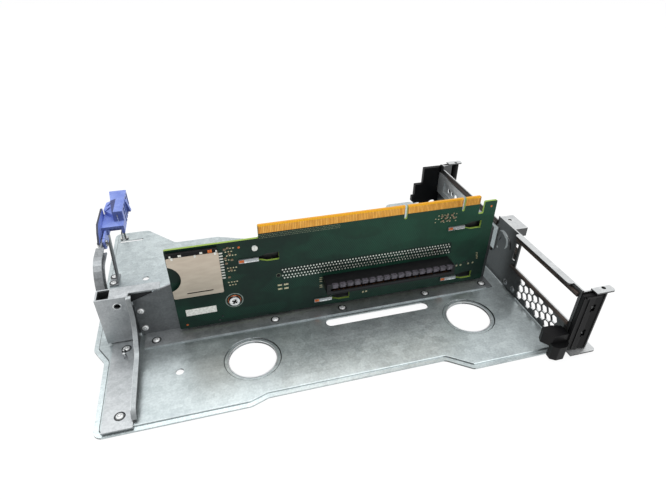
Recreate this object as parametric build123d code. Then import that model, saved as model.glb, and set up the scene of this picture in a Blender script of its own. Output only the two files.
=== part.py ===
from build123d import *
import math
import os

# Server riser cage: a folded steel tray and end plate that carry a riser board on a centre wall.
# Millimetres. X runs along the board to the card brackets, Y away from the front bay, Z up.
# Places are first counted from the board's front left foot, and moved to the part's middle at the end.

# Sheet metal
SHEET = 1.0                   # steel thickness of every folded part
PRESS = 0.8                   # height of the tray's raised middle over its rim
RIM = 2.7                     # width of the tray's lower rim
FIT = 0.15                    # gap between parts that slide together
RUNNING = 0.06                # radial gap of a turning pin in its hole
SEAT = 0.3                    # gap between curved or moving faces that only lie close
RIVET_D = 3.0
RIVET_HEAD_D = 4.6
RIVET_HEAD_H = 1.0

# Tray outline
TRAY_LEFT = -44.8
TRAY_WIDE_LEFT = -52.0
TRAY_FRONT_A = -67.2          # left stretch of the front edge
TRAY_FRONT_B = -63.6          # middle stretch
TRAY_FRONT_C = -74.2          # right stretch
TRAY_BACK_LEFT = 137.0
TRAY_BACK_MID = 112.0
TRAY_BACK_RIGHT = 129.0
TRAY_CORNER = 5.0
ROUND_OVER = 0.6              # radius along the tray's pressed steps
TRAY_TOP = SHEET + PRESS
FINGER_HOLE_R = 14.3
FINGER_RING = 2.5
FINGER_XY = ((41.1, -32.8), (185.5, -32.0))
SLOT_XY = (127.5, -14.6)
SLOT_LENGTH = 72.0
SLOT_WIDTH = 7.0

# End plate
END_X = 226.5                 # inner face, where the card brackets land
END_TOP = 47.3
BAY_FRONT = 74.0              # board face to the low bracket's shelf
BAY_REAR = 104.2              # board face to the tall bracket's shelf
WINDOW_GAP = 2.0              # shelf to window
FRONT_WINDOW_Z = (22.6, 41.5)
REAR_WINDOW_Z = (22.6, 38.4)
FRONT_WINDOW_START = 15.2
REAR_WINDOW_START = 14.0
RAIL_WIDTH = 3.4
VENT_PITCH = 5.8
VENT_FLAT = 5.0
VENT_Z = (3.8, 19.2)
EAR_REACH = 19.0              # how far the ears stand out of the end plate
HINGE_REACH = 13.5            # end plate to the retainer's hinge pin
FILLER_SHEET = 0.9

# Board
BOARD_LENGTH = 212.0
BOARD_THICK = 1.6
BOARD_FOOT = 4.9
BOARD_SHOULDER = 64.9
BOARD_EDGE_TOP = 73.7
BOARD_TAB_TOP = 69.2
EDGE_START = 54.0
EDGE_END = 199.4
TAB_START = 203.0
KEY_X = (147.4, 187.7)
KEY_WIDTH = 1.9
KEY_DEPTH = 8.6
FINGER_PITCH = 1.0
FINGER_WIDTH = 0.7
FINGER_LENGTH = 5.6
COPPER = 0.05
HOOK_X = (41.0, 178.5, 87.0, 178.5)
HOOK_Z = (50.6, 52.4, 10.6, 10.6)
HOOK_LENGTH = 12.0
HOOK_HIGH = 2.4
KEYHOLE_MOUTH = 12.5
KEYHOLE_HIGH = 5.6

# Slots for cards
SLOT_BODY_LENGTH = 89.0
SLOT_BODY_WIDTH = 7.5
SLOT_BODY_DEEP = 11.25
SLOT_X = 93.1
SLOT_Z = 25.9
LONG_SLOT_LENGTH = 124.0
LONG_SLOT_X = 62.5
LONG_SLOT_Z = 36.3
CARD_GAP = 1.9
CARD_DEPTH = 8.0
JOINT_PITCH = 2.0
CONTACT_PITCH = 1.0
CONTACT_WIDTH = 0.5
CELL_PITCH = 5.08
SLOT_KEY_FROM_END = 14.5
SLOT_KEY_WIDTH = 1.8

# Memory card socket
SD_X = (0.6, 30.0)
SD_Z = (31.5, 61.0)
SD_HIGH = 2.9
SD_SKIN = 0.25
SD_THUMB_R = 9.6
SD_THUMB_X = -2.9

# Centre wall
WALL_Y = 4.0                  # front face
WALL_FOOT = -8.6              # front edge of the foot flange
WALL_LEFT = -24.0
WALL_RIGHT = 217.0
WALL_TOP = 59.0
WALL_LEFT_TOP = 30.0
WALL_SLOPE_END = 58.0
STANDOFF_D = 6.0
SCREW_XZ = (35.5, 21.5)

# Latch bracket
FOOT_LEFT = -40.6
FOOT_FRONT = -66.0
FLANGE_X = -25.0
FLANGE_HIGH = 6.5
HOUSING_LEFT = -43.5
HOUSING_TOP = 37.0
HOUSING_DEEP = 10.5
TONGUE_RIGHT = -7.0
LEVER_OPENING = (-43.0, -35.8)

# Card-end holder and the arm that carries it
ARM_X = (-44.2, -43.0)        # the arm's flat web
ARM_LIP = 2.6                 # how far the arm's inner lip turns towards the board
ARM_TOP = 44.2
ARM_BAND = 5.0
ARM_FRONT_Y = 18.0
ARM_CURVE_Y = 18.0            # the arched front's depth
ARM_CURVE_Z = 20.0            # height where the arched front starts to curve
ARM_STEP_Y = 60.0
ARM_REAR_LEAN = 10.0          # how far the rear leg leans back towards its top
ARM_REAR_TOP = 41.0
ARM_REAR_Y = (64.0, 69.4)
ARM_FOOT_X = (-49.2, -43.0)
ARM_RIVETS = ((-46.6, 72.4), (-46.6, 64.6), (-36.2, 21.0))
ARM_STRIP = (-46.2, -41.2)
PIVOT_YZ = (56.0, 41.7)
PIVOT_D = 2.4
PIVOT_HEAD_D = 4.4
HOLDER_X = (-41.6, -30.0)
WING_X = (-45.7, -44.4)
WING_END_Y = 85.0
WING_TOP = 53.2
CHEEK = 1.3
HOLDER_NECK_Y = 66.0
HOLDER_STEP_Z = 48.0
HOLDER_WALL_Y = 73.0
HOLDER_END_Y = 106.0
HOLDER_TOP = 55.4
HOLDER_LOW = 42.0

# Card retainers
RETAINER_LOW = 3.3
RETAINER_HIGH = 45.6
HINGE_PIN_D = 2.4
BARREL_WALL = 1.5
CLAMP_REACH = 7.2             # how far the clamps and lower ears stand out from a shelf

PART_LEFT = TRAY_WIDE_LEFT
PART_RIGHT = END_X + EAR_REACH
PART_FRONT = -BAY_FRONT - CLAMP_REACH
PART_BACK = TRAY_BACK_LEFT
TO_MIDDLE = Pos(-(PART_LEFT + PART_RIGHT) / 2, -(PART_FRONT + PART_BACK) / 2, 0)


def block(x, y, z):
    """A box between two X, two Y and two Z places."""
    size = (x[1] - x[0], y[1] - y[0], z[1] - z[0])
    middle = ((x[0] + x[1]) / 2, (y[0] + y[1]) / 2, (z[0] + z[1]) / 2)
    return Pos(*middle) * Box(*size)


def flat_prism(points, z, corner=0):
    """An outline seen from above, between two heights."""
    face = make_face(Polyline(*points, close=True))
    if corner:
        face = fillet(face.vertices(), corner)
    return extrude(Pos(0, 0, z[0]) * face, amount=z[1] - z[0])


def front_prism(points, y, corner=0):
    """An outline of X and Z places seen from the front, between two Y places."""
    face = make_face(Polyline(*points, close=True))
    if corner:
        face = fillet(face.vertices(), corner)
    plane = Plane(origin=(0, y[1], 0), x_dir=(1, 0, 0), z_dir=(0, -1, 0))
    return extrude(plane * face, amount=y[1] - y[0])


def side_prism(points, x, corner=0):
    """An outline of Y and Z places seen from the end, between two X places."""
    face = make_face(Polyline(*points, close=True))
    if corner:
        face = fillet(face.vertices(), corner)
    plane = Plane(origin=(x[0], 0, 0), x_dir=(0, 1, 0), z_dir=(1, 0, 0))
    return extrude(plane * face, amount=x[1] - x[0])


def post_z(x, y, z, diameter):
    """A round bar or hole that stands up between two heights."""
    return Pos(x, y, (z[0] + z[1]) / 2) * Cylinder(diameter / 2, z[1] - z[0])


def bar_y(x, z, y, diameter):
    """A round bar or hole that runs front to back."""
    return Pos(x, (y[0] + y[1]) / 2, z) * Rot(90, 0, 0) * Cylinder(diameter / 2, y[1] - y[0])


def bar_x(y, z, x, diameter):
    """A round bar or hole that runs along the board."""
    return Pos((x[0] + x[1]) / 2, y, z) * Rot(0, 90, 0) * Cylinder(diameter / 2, x[1] - x[0])


def group(solids):
    """Separate solids that share one node."""
    return Compound(children=list(solids))


# Rivet places on the tray, as X and Y, shared by the tray, the parts it carries and the rivets
WALL_RIVETS = ((-15.0, -3.6), (59.7, -3.6), (105.6, -3.6), (166.4, -3.6), (211.0, -3.6))
BRACKET_RIVETS = ((-32.4, -6.5), (-32.0, -57.2)) + ARM_RIVETS
SIDE_RIVETS = ((WALL_LEFT + 3.0, 21.6), (WALL_LEFT + 3.0, 7.8))
END_TAB_HIGH = 9.0
END_TAB_WIDTH = 16.0
END_TABS_Y = (-14.0, 26.0, 92.0)
END_RIVETS = tuple((y + step, 5.6) for y in END_TABS_Y for step in (-4.4, 4.4))
GUIDE_PIN_XY = (-44.3, 126.6)
GUIDE_PIN_D = 3.2


def tray_outline():
    """The tray's outer edge, from the front left corner round to the right."""
    return (
        (TRAY_LEFT, TRAY_FRONT_A),
        (36.0, TRAY_FRONT_A),
        (46.0, TRAY_FRONT_B),
        (153.0, TRAY_FRONT_B),
        (167.0, TRAY_FRONT_C),
        (END_X + SHEET, TRAY_FRONT_C),
        (END_X + SHEET, TRAY_BACK_RIGHT - 14.0),
        (210.0, TRAY_BACK_RIGHT),
        (188.0, TRAY_BACK_RIGHT),
        (170.0, TRAY_BACK_MID - 10.0),
        (60.0, TRAY_BACK_MID - 12.0),
        (30.0, TRAY_BACK_MID),
        (-4.0, TRAY_BACK_MID),
        (-26.0, TRAY_BACK_LEFT),
        (TRAY_WIDE_LEFT, TRAY_BACK_LEFT),
        (TRAY_WIDE_LEFT, -2.0),
        (TRAY_LEFT, -14.0),
    )


def flat_slot(x, y, length, width):
    """A round ended slot as a flat outline along X."""
    return Pos(x, y) * SlotOverall(length, width)


def tray_holes():
    """Every plain hole through the tray's raised middle, as flat outlines."""
    holes = [
        flat_slot(SLOT_XY[0], SLOT_XY[1], SLOT_LENGTH, SLOT_WIDTH),
        flat_slot(-38.6, 122.6, 18.6, 3.0),
        Pos(-1.4, -32.7) * Circle(2.4),
        Pos(-24.8, 66.0) * Circle(2.4),
        Pos(*GUIDE_PIN_XY) * Circle(GUIDE_PIN_D / 2),
    ]
    for x, y in WALL_RIVETS + BRACKET_RIVETS:
        holes.append(Pos(x, y) * Circle(RIVET_D / 2))
    for x, y in FINGER_XY:
        holes.append(Pos(x, y) * Circle(FINGER_HOLE_R + FINGER_RING))
    return holes


def base_plate():
    """The tray: one sheet whose middle is pressed up over a lower rim, with ringed finger holes."""
    outer = fillet(make_face(Polyline(*tray_outline(), close=True)).vertices(), TRAY_CORNER)
    middle = offset(outer, amount=-RIM, kind=Kind.INTERSECTION)
    pocket = offset(outer, amount=-RIM - SHEET, kind=Kind.INTERSECTION)
    tray = extrude(outer - pocket, amount=SHEET) + extrude(middle - pocket, amount=TRAY_TOP)
    tray += extrude(Pos(0, 0, PRESS) * (middle - tray_holes()), amount=SHEET)
    for x, y in FINGER_XY:
        ring = FINGER_HOLE_R + FINGER_RING
        step = Pos(x, y) * (Circle(ring + SHEET) - Circle(ring))
        lower = Pos(x, y) * (Circle(ring + SHEET) - Circle(FINGER_HOLE_R))
        tray += extrude(step, amount=TRAY_TOP)
        tray += extrude(lower, amount=SHEET)
    raised = tray.faces().filter_by(Axis.Z).group_by(Axis.Z)[-1].sort_by(SortBy.AREA)[-1]
    rings = tray.edges().filter_by(GeomType.CIRCLE).group_by(Axis.Z)[-1].group_by(SortBy.RADIUS)[-1]
    tray = fillet(raised.outer_wire().edges() + rings, ROUND_OVER)
    outside = (END_X + SHEET, END_X + 2 * SHEET)
    for y in END_TABS_Y:
        tab = block(outside, (y - END_TAB_WIDTH / 2, y + END_TAB_WIDTH / 2), (0, END_TAB_HIGH))
        tray += fillet(tab.edges().filter_by(Axis.X).sort_by(Axis.Z)[-2:], 2.0)
    for y, z in END_RIVETS:
        tray -= bar_x(y, z, outside, RIVET_D)
    return tray


def rivet(x, y, low, high):
    """One rivet: a shank closed by a low dome on top and flush underneath."""
    dome_r = (RIVET_HEAD_D ** 2 / 4 + RIVET_HEAD_H ** 2) / (2 * RIVET_HEAD_H)
    ball = Pos(x, y, high + RIVET_HEAD_H - dome_r) * Sphere(dome_r)
    head = ball & post_z(x, y, (high, high + RIVET_HEAD_H), RIVET_HEAD_D)
    return head + post_z(x, y, (low, high), RIVET_D - 2 * RUNNING)


def tray_rivets(places):
    """Rivets through the tray and one sheet on top of it."""
    return group(rivet(x, y, PRESS, TRAY_TOP + SHEET) for x, y in places)


def end_rivets():
    """Rivets through the end plate and the tray's upturned tabs, domed towards the bays."""
    rivets = []
    for y, z in END_RIVETS:
        upright = rivet(0, 0, -2 * SHEET, 0)
        rivets.append(Pos(END_X, y, z) * Rot(0, -90, 0) * upright)
    return group(rivets)


def side_rivets():
    """Two rivets that join the wall's left end to the latch bracket, domed towards the front."""
    upright = rivet(0, 0, -2 * SHEET, 0)
    return group(Pos(x, WALL_Y, z) * Rot(90, 0, 0) * upright for x, z in SIDE_RIVETS)


def hook(x, z):
    """One tongue of the wall: it passes through the board and turns left along its face."""
    reach = block((x + HOOK_LENGTH - 3.0, x + HOOK_LENGTH), (-SHEET - FIT, WALL_Y + SHEET),
                  (z - HOOK_HIGH / 2, z + HOOK_HIGH / 2))
    bar = block((x, x + HOOK_LENGTH), (-SHEET - FIT, -FIT), (z - HOOK_HIGH / 2, z + HOOK_HIGH / 2))
    return reach + bar


def centre_wall():
    """The upright wall behind the board, with its riveted foot and four board hooks."""
    outline = (
        (WALL_LEFT, TRAY_TOP),
        (WALL_RIGHT, TRAY_TOP),
        (WALL_RIGHT, WALL_TOP - 14.0),
        (WALL_RIGHT - 10.0, WALL_TOP),
        (WALL_SLOPE_END, WALL_TOP),
        (WALL_LEFT, WALL_LEFT_TOP),
    )
    wall = front_prism(outline, (WALL_Y, WALL_Y + SHEET))
    wall += block((WALL_LEFT + 2.0, WALL_RIGHT), (WALL_FOOT, WALL_Y + SHEET), (TRAY_TOP, TRAY_TOP + SHEET))
    hole = 1.0
    wall -= block((LONG_SLOT_X - hole, LONG_SLOT_X + LONG_SLOT_LENGTH + hole), (WALL_Y, WALL_Y + SHEET),
                  (LONG_SLOT_Z - SLOT_BODY_WIDTH / 2 - hole, LONG_SLOT_Z + SLOT_BODY_WIDTH / 2 + hole))
    for x, z in zip(HOOK_X, HOOK_Z):
        wall += hook(x, z)
    wall -= bar_y(*SCREW_XZ, (WALL_Y, WALL_Y + SHEET), 2.5)
    for x, z in SIDE_RIVETS:
        wall -= bar_y(x, z, (WALL_Y, WALL_Y + SHEET), RIVET_D)
    for x, y in WALL_RIVETS:
        wall -= post_z(x, y, (TRAY_TOP, TRAY_TOP + SHEET), RIVET_D)
    return wall


def keyhole(x, z):
    """The tapered hole that a board hook passes through before the board slides along."""
    stem = x + HOOK_LENGTH
    points = (
        (stem - 3.0 - FIT, z - HOOK_HIGH / 2 - FIT),
        (stem + 1.0, z - HOOK_HIGH / 2 - FIT),
        (stem + 5.0, z - KEYHOLE_HIGH / 2),
        (stem + KEYHOLE_MOUTH, z - KEYHOLE_HIGH / 2),
        (stem + KEYHOLE_MOUTH, z + KEYHOLE_HIGH / 2),
        (stem + 5.0, z + KEYHOLE_HIGH / 2),
        (stem + 1.0, z + HOOK_HIGH / 2 + FIT),
        (stem - 3.0 - FIT, z + HOOK_HIGH / 2 + FIT),
    )
    return front_prism(points, (0, BOARD_THICK))


def riser_board():
    """The green board: an edge connector on top, two key notches, keyholes and a screw hole."""
    outline = (
        (0, BOARD_FOOT),
        (BOARD_LENGTH, BOARD_FOOT),
        (BOARD_LENGTH, BOARD_TAB_TOP),
        (TAB_START, BOARD_TAB_TOP),
        (TAB_START, BOARD_SHOULDER - 4.4),
        (EDGE_END, BOARD_SHOULDER - 4.4),
        (EDGE_END, BOARD_EDGE_TOP),
        (EDGE_START, BOARD_EDGE_TOP),
        (EDGE_START, BOARD_SHOULDER),
        (0, BOARD_SHOULDER),
    )
    board = front_prism(outline, (0, BOARD_THICK), corner=0.8)
    through = (0, BOARD_THICK)
    for x in KEY_X:
        board -= block((x - KEY_WIDTH / 2, x + KEY_WIDTH / 2), through,
                       (BOARD_EDGE_TOP - KEY_DEPTH, BOARD_EDGE_TOP))
        board -= bar_y(x, BOARD_EDGE_TOP - KEY_DEPTH, through, KEY_WIDTH)
    for x, z in zip(HOOK_X, HOOK_Z):
        board -= keyhole(x, z)
    board -= bar_y(*SCREW_XZ, through, 3.4)
    board -= bar_y(51.2, 58.6, through, 3.4)
    return board


def edge_contacts():
    """The gold fingers on both faces of the edge connector, leaving the key notches free."""
    count = int((EDGE_END - EDGE_START - 2.0) / FINGER_PITCH)
    fingers = []
    for index in range(count):
        x = EDGE_START + 1.5 + index * FINGER_PITCH
        if min(abs(x - key) for key in KEY_X) < KEY_WIDTH / 2 + FINGER_WIDTH:
            continue
        span = (x - FINGER_WIDTH / 2, x + FINGER_WIDTH / 2)
        high = (BOARD_EDGE_TOP - FINGER_LENGTH - 0.1, BOARD_EDGE_TOP - 0.1)
        fingers.append(block(span, (-COPPER, 0), high))
        fingers.append(block(span, (BOARD_THICK, BOARD_THICK + COPPER), high))
    return group(fingers)


def slot_housing(x, z, length, key):
    """A moulded card slot that stands out from Y = 0 towards the front, with a keyed card gap."""
    body = block((x, x + length), (-SLOT_BODY_DEEP, 0),
                 (z - SLOT_BODY_WIDTH / 2, z + SLOT_BODY_WIDTH / 2))
    body = fillet(body.edges().filter_by(Axis.Y), 0.6)
    gap = block((x + 2.4, x + length - 2.4), (-SLOT_BODY_DEEP, CARD_DEPTH - SLOT_BODY_DEEP),
                (z - CARD_GAP / 2, z + CARD_GAP / 2))
    gap -= block((key - SLOT_KEY_WIDTH / 2, key + SLOT_KEY_WIDTH / 2),
                 (-SLOT_BODY_DEEP + 1.0, 0), (z - CARD_GAP, z + CARD_GAP))
    cells = []
    count = int((length - 4.0) / CELL_PITCH)
    start = x + (length - (count - 1) * CELL_PITCH) / 2
    for index in range(count):
        middle = start + index * CELL_PITCH
        cells.append(block((middle - 1.7, middle + 1.7), (-SLOT_BODY_DEEP, -SLOT_BODY_DEEP + 0.5),
                           (z + CARD_GAP / 2 + 0.75, z + SLOT_BODY_WIDTH / 2 - 0.45)))
    return body - gap - cells


def contact_places(x, length, key):
    """Places of the contacts along a slot, leaving out the key."""
    count = int((length - 7.0) / CONTACT_PITCH)
    start = x + (length - (count - 1) * CONTACT_PITCH) / 2
    places = [start + index * CONTACT_PITCH for index in range(count)]
    return [p for p in places if abs(p - key) > SLOT_KEY_WIDTH / 2 + CONTACT_WIDTH]


def cut_channels(body, x, z, length, key):
    """Cuts the channel that each pair of contacts stands in."""
    cells = []
    for place in contact_places(x, length, key):
        span = (place - CONTACT_WIDTH / 2 - 0.05, place + CONTACT_WIDTH / 2 + 0.05)
        deep = (-SLOT_BODY_DEEP, -SLOT_BODY_DEEP + CARD_DEPTH)
        cells.append(block(span, deep, (z - CARD_GAP / 2 - 0.7, z + CARD_GAP / 2 + 0.7)))
    return body - cells


def slot_contacts(x, z, length, key):
    """The contact springs on both sides of a slot's card gap."""
    springs = []
    deep = (-SLOT_BODY_DEEP + 0.8, -SLOT_BODY_DEEP + CARD_DEPTH)
    for place in contact_places(x, length, key):
        span = (place - CONTACT_WIDTH / 2, place + CONTACT_WIDTH / 2)
        inner = CARD_GAP / 2 + 0.1
        outer = CARD_GAP / 2 + 0.6
        springs.append(block(span, deep, (z + inner, z + outer)))
        springs.append(block(span, deep, (z - outer, z - inner)))
    return group(springs)


FRONT_KEY = SLOT_X + SLOT_BODY_LENGTH - SLOT_KEY_FROM_END
REAR_KEY = LONG_SLOT_X + LONG_SLOT_LENGTH - SLOT_KEY_FROM_END
TO_BOARD_BACK = Pos(0, BOARD_THICK, 0) * Rot(180, 0, 0)


def on_board_back(shape, z):
    """Turns a shape made for the board's front at a height over to the board's back."""
    return Pos(0, 0, 2 * z) * TO_BOARD_BACK * shape


def front_slot():
    body = slot_housing(SLOT_X, SLOT_Z, SLOT_BODY_LENGTH, FRONT_KEY)
    return cut_channels(body, SLOT_X, SLOT_Z, SLOT_BODY_LENGTH, FRONT_KEY)


def rear_slot():
    body = slot_housing(LONG_SLOT_X, LONG_SLOT_Z, LONG_SLOT_LENGTH, REAR_KEY)
    return on_board_back(body, LONG_SLOT_Z)


def sd_shell():
    """The memory card socket's folded steel cover, with a thumb notch in its left edge."""
    cover = block(SD_X, (-SD_HIGH, 0), SD_Z)
    cover = fillet(cover.edges().filter_by(Axis.Y), 1.0)
    cover -= block((SD_X[0] - 1, SD_X[1] - SD_SKIN), (-SD_HIGH + SD_SKIN, 0),
                   (SD_Z[0] + SD_SKIN, SD_Z[1] - SD_SKIN))
    cover -= bar_y(SD_THUMB_X, (SD_Z[0] + SD_Z[1]) / 2, (-SD_HIGH, 0), 2 * SD_THUMB_R)
    slit_z = SD_Z[0] + 2.6
    cover -= block((SD_X[0] + 8.0, SD_X[1] - 6.0), (-SD_HIGH, -SD_HIGH + SD_SKIN), (slit_z, slit_z + 0.8))
    return cover


def sd_body():
    """The socket's black moulded frame under the cover: two rails and a back bar."""
    low = SD_Z[0] + SD_SKIN + 0.05
    high = SD_Z[1] - SD_SKIN - 0.05
    deep = (-SD_HIGH + SD_SKIN + 0.05, 0)
    right = SD_X[1] - SD_SKIN - 0.05
    frame = block((SD_X[0] + 1.5, right), deep, (low, low + 1.8))
    frame += block((SD_X[0] + 1.5, right), deep, (high - 1.8, high))
    frame += block((right - 4.0, right), deep, (low, high))
    return frame


def sd_pins():
    """The socket's solder feet, in a row on the board beside its back edge."""
    first = SD_Z[0] + 8.6
    feet = []
    for index in range(10):
        z = first + index * 2.0
        feet.append(block((SD_X[1] + 0.1, SD_X[1] + 2.2), (-0.3, 0), (z - 0.45, z + 0.45)))
    return group(feet)


def board_standoff():
    """The threaded spacer between the wall and the board."""
    spacer = bar_y(*SCREW_XZ, (BOARD_THICK, WALL_Y), STANDOFF_D)
    return spacer - bar_y(*SCREW_XZ, (BOARD_THICK, WALL_Y), 3.2)


def board_screw():
    """The cross-head screw that holds the board to the wall."""
    head = bar_y(*SCREW_XZ, (-1.6, 0), 7.4)
    head = fillet(head.edges().sort_by(Axis.Y)[0], 0.7)
    head += bar_y(*SCREW_XZ, (0, WALL_Y + SHEET + 1.0), 2.4)
    x, z = SCREW_XZ
    for turn in (20, 110):
        bit = Pos(x, -1.1, z) * Rot(0, turn, 0) * Box(3.6, 1.2, 0.8)
        head -= bit
    return head


def chips(places, size):
    """Small parts soldered flat on the board's front, as X and Z places."""
    long, high, wide = size
    return group(block((x - long / 2, x + long / 2), (-high, 0), (z - wide / 2, z + wide / 2))
                 for x, z in places)


SLOT_END_X = SLOT_X + SLOT_BODY_LENGTH
CAPACITORS = tuple((SD_X[1] + step, z) for step, z in (
    (3.6, 60.4), (6.2, 57.0), (3.8, 50.6), (6.0, 45.4), (4.4, 40.2), (7.2, 52.6), (5.4, 61.2), (3.4, 54.4),
)) + tuple((BOARD_LENGTH - step, z) for step, z in (
    (39.2, 62.6), (35.6, 62.8), (32.0, 62.6), (38.4, 59.2), (33.8, 59.0), (36.4, 60.9), (30.4, 60.4),
))
RESISTORS = tuple((SLOT_END_X + step, z) for step, z in (
    (5.4, 21.6), (8.2, 21.6), (13.2, 22.2), (16.0, 22.6),
)) + tuple((SLOT_X - step, z) for step, z in ((26.6, 28.6), (23.6, 28.9), (68.4, 7.6), (66.2, 10.4)))


def honeycomb():
    """The hexagonal cells of the vent under the front window."""
    across = VENT_FLAT / math.cos(math.pi / 6)
    column_pitch = VENT_PITCH * math.cos(math.pi / 6)
    columns = int((BAY_FRONT - FRONT_WINDOW_START - 18.0) / column_pitch)
    cells = []
    for column in range(columns):
        y = -FRONT_WINDOW_START - 11.0 - column * column_pitch
        rows = 3 if column % 2 == 0 else 2
        for row in range(rows):
            z = VENT_Z[0] + VENT_FLAT / 2 + row * VENT_PITCH + (column % 2) * VENT_PITCH / 2
            cell = extrude(RegularPolygon(across / 2, 6), amount=SHEET)
            cells.append(Pos(END_X, y, z) * Rot(0, 90, 0) * Rot(0, 0, 90) * cell)
    return cells


def shelf(y, out):
    """A bracket shelf at one end of a bay, with an ear above and below that holds a clamp's pivots."""
    pin_x = END_X + HINGE_REACH
    edge = pin_x - 4.1
    plate = block((END_X, edge), sorted((y, y - out * SHEET)), (TRAY_TOP + SHEET, END_TOP - SHEET))
    upper_y = sorted((y - out * SHEET, y + out * 4.2))
    lower_y = sorted((y - out * SHEET, y + out * CLAMP_REACH))
    upper = block((edge - 3.0, END_X + EAR_REACH), upper_y, (END_TOP - SHEET, END_TOP))
    lower = block((END_X + SHEET, END_X + EAR_REACH), lower_y, (TRAY_TOP, TRAY_TOP + SHEET))
    upper = fillet(upper.edges().filter_by(Axis.Z).sort_by(Axis.X)[-2:], 1.5)
    lower = fillet(lower.edges().filter_by(Axis.Z).sort_by(Axis.X)[-2:], 2.0)
    hole = post_z(pin_x, y + out * 0.5, (TRAY_TOP, END_TOP), HINGE_PIN_D + 2 * RUNNING)
    return plate + upper + lower - hole


def end_plate():
    """The end plate that the card brackets land on: two windows, a vent, shelves and a top tab."""
    rear_end = BOARD_THICK + BAY_REAR
    inner, outer = END_X, END_X + SHEET
    plate = block((inner, outer), (-BAY_FRONT, rear_end), (TRAY_TOP, END_TOP))
    low, high = FRONT_WINDOW_Z
    plate -= block((inner, outer), (-BAY_FRONT + WINDOW_GAP, -FRONT_WINDOW_START), (low, high))
    low, high = REAR_WINDOW_Z
    plate -= block((inner, outer), (REAR_WINDOW_START, rear_end - WINDOW_GAP), (low, high))
    plate -= block((inner, outer), (REAR_WINDOW_START, rear_end - 4.0), (44.0, END_TOP))
    plate -= honeycomb()
    plate -= block((inner, outer), (-13.2, -10.2), (26.4, 39.6))
    plate += shelf(-BAY_FRONT, -1)
    plate += shelf(rear_end, 1)
    rail = block((inner - RAIL_WIDTH, inner), (-BAY_FRONT + 7.6, -FRONT_WINDOW_START + 4.0),
                 (END_TOP - SHEET, END_TOP))
    plate += fillet(rail.edges().filter_by(Axis.Z).sort_by(Axis.X)[:2], 2.0)
    tab = block((inner, inner + 10.4), (-5.4, 12.8), (END_TOP - SHEET, END_TOP))
    tab += block((inner, inner + 10.4), (-5.4, -5.4 + SHEET), (END_TOP - 6.4, END_TOP))
    tab -= post_z(inner + 4.2, 7.0, (END_TOP - SHEET, END_TOP), 2.6)
    plate += tab
    ring = bar_x(2.0, 31.0, (inner - 0.4, inner), 16.0) - bar_x(2.0, 31.0, (inner - 0.4, inner), 11.0)
    plate += ring & block((inner - 0.4, inner), (-7.0, 12.0), (31.0, 40.0))
    cuts = [bar_x(y, z, (inner, outer), RIVET_D) for y, z in END_RIVETS]
    return plate - cuts


def gasket(y, z):
    """A strip of brown contact spring along one edge of a window, on the plate's inner face."""
    strip = block((END_X - 1.2, END_X), y, z)
    return fillet(strip.edges().filter_by(Axis.Y).sort_by(Axis.X)[:2], 0.5)


def filler_panel():
    """The vented blank behind the rear window, bent out over the rear shelf."""
    low, high = REAR_WINDOW_Z
    z = (low - 1.3, high + 1.3)
    rear_end = BOARD_THICK + BAY_REAR
    inner = END_X - FILLER_SHEET
    blank = block((inner, END_X), (REAR_WINDOW_START - 3.0, rear_end + FILLER_SHEET), z)
    blank += block((inner, END_X + 9.2), (rear_end, rear_end + FILLER_SHEET), z)
    panel = (REAR_WINDOW_START + 5.0, rear_end - 9.0)
    blank += block((inner, END_X + SHEET), panel, (low + 2.4, high - 2.4))
    blank -= block((inner, END_X + SHEET - FILLER_SHEET), (panel[0] + FILLER_SHEET, panel[1] - FILLER_SHEET),
                   (low + 2.4 + FILLER_SHEET, high - 2.4 - FILLER_SHEET))
    count = int((panel[1] - panel[0] - 4.0) / VENT_PITCH)
    holes = []
    for index in range(count):
        y = panel[0] + 4.6 + index * VENT_PITCH
        holes.append(bar_x(y, (low + high) / 2, (inner - 1, END_X + 2), 4.2))
    return blank - holes


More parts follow.
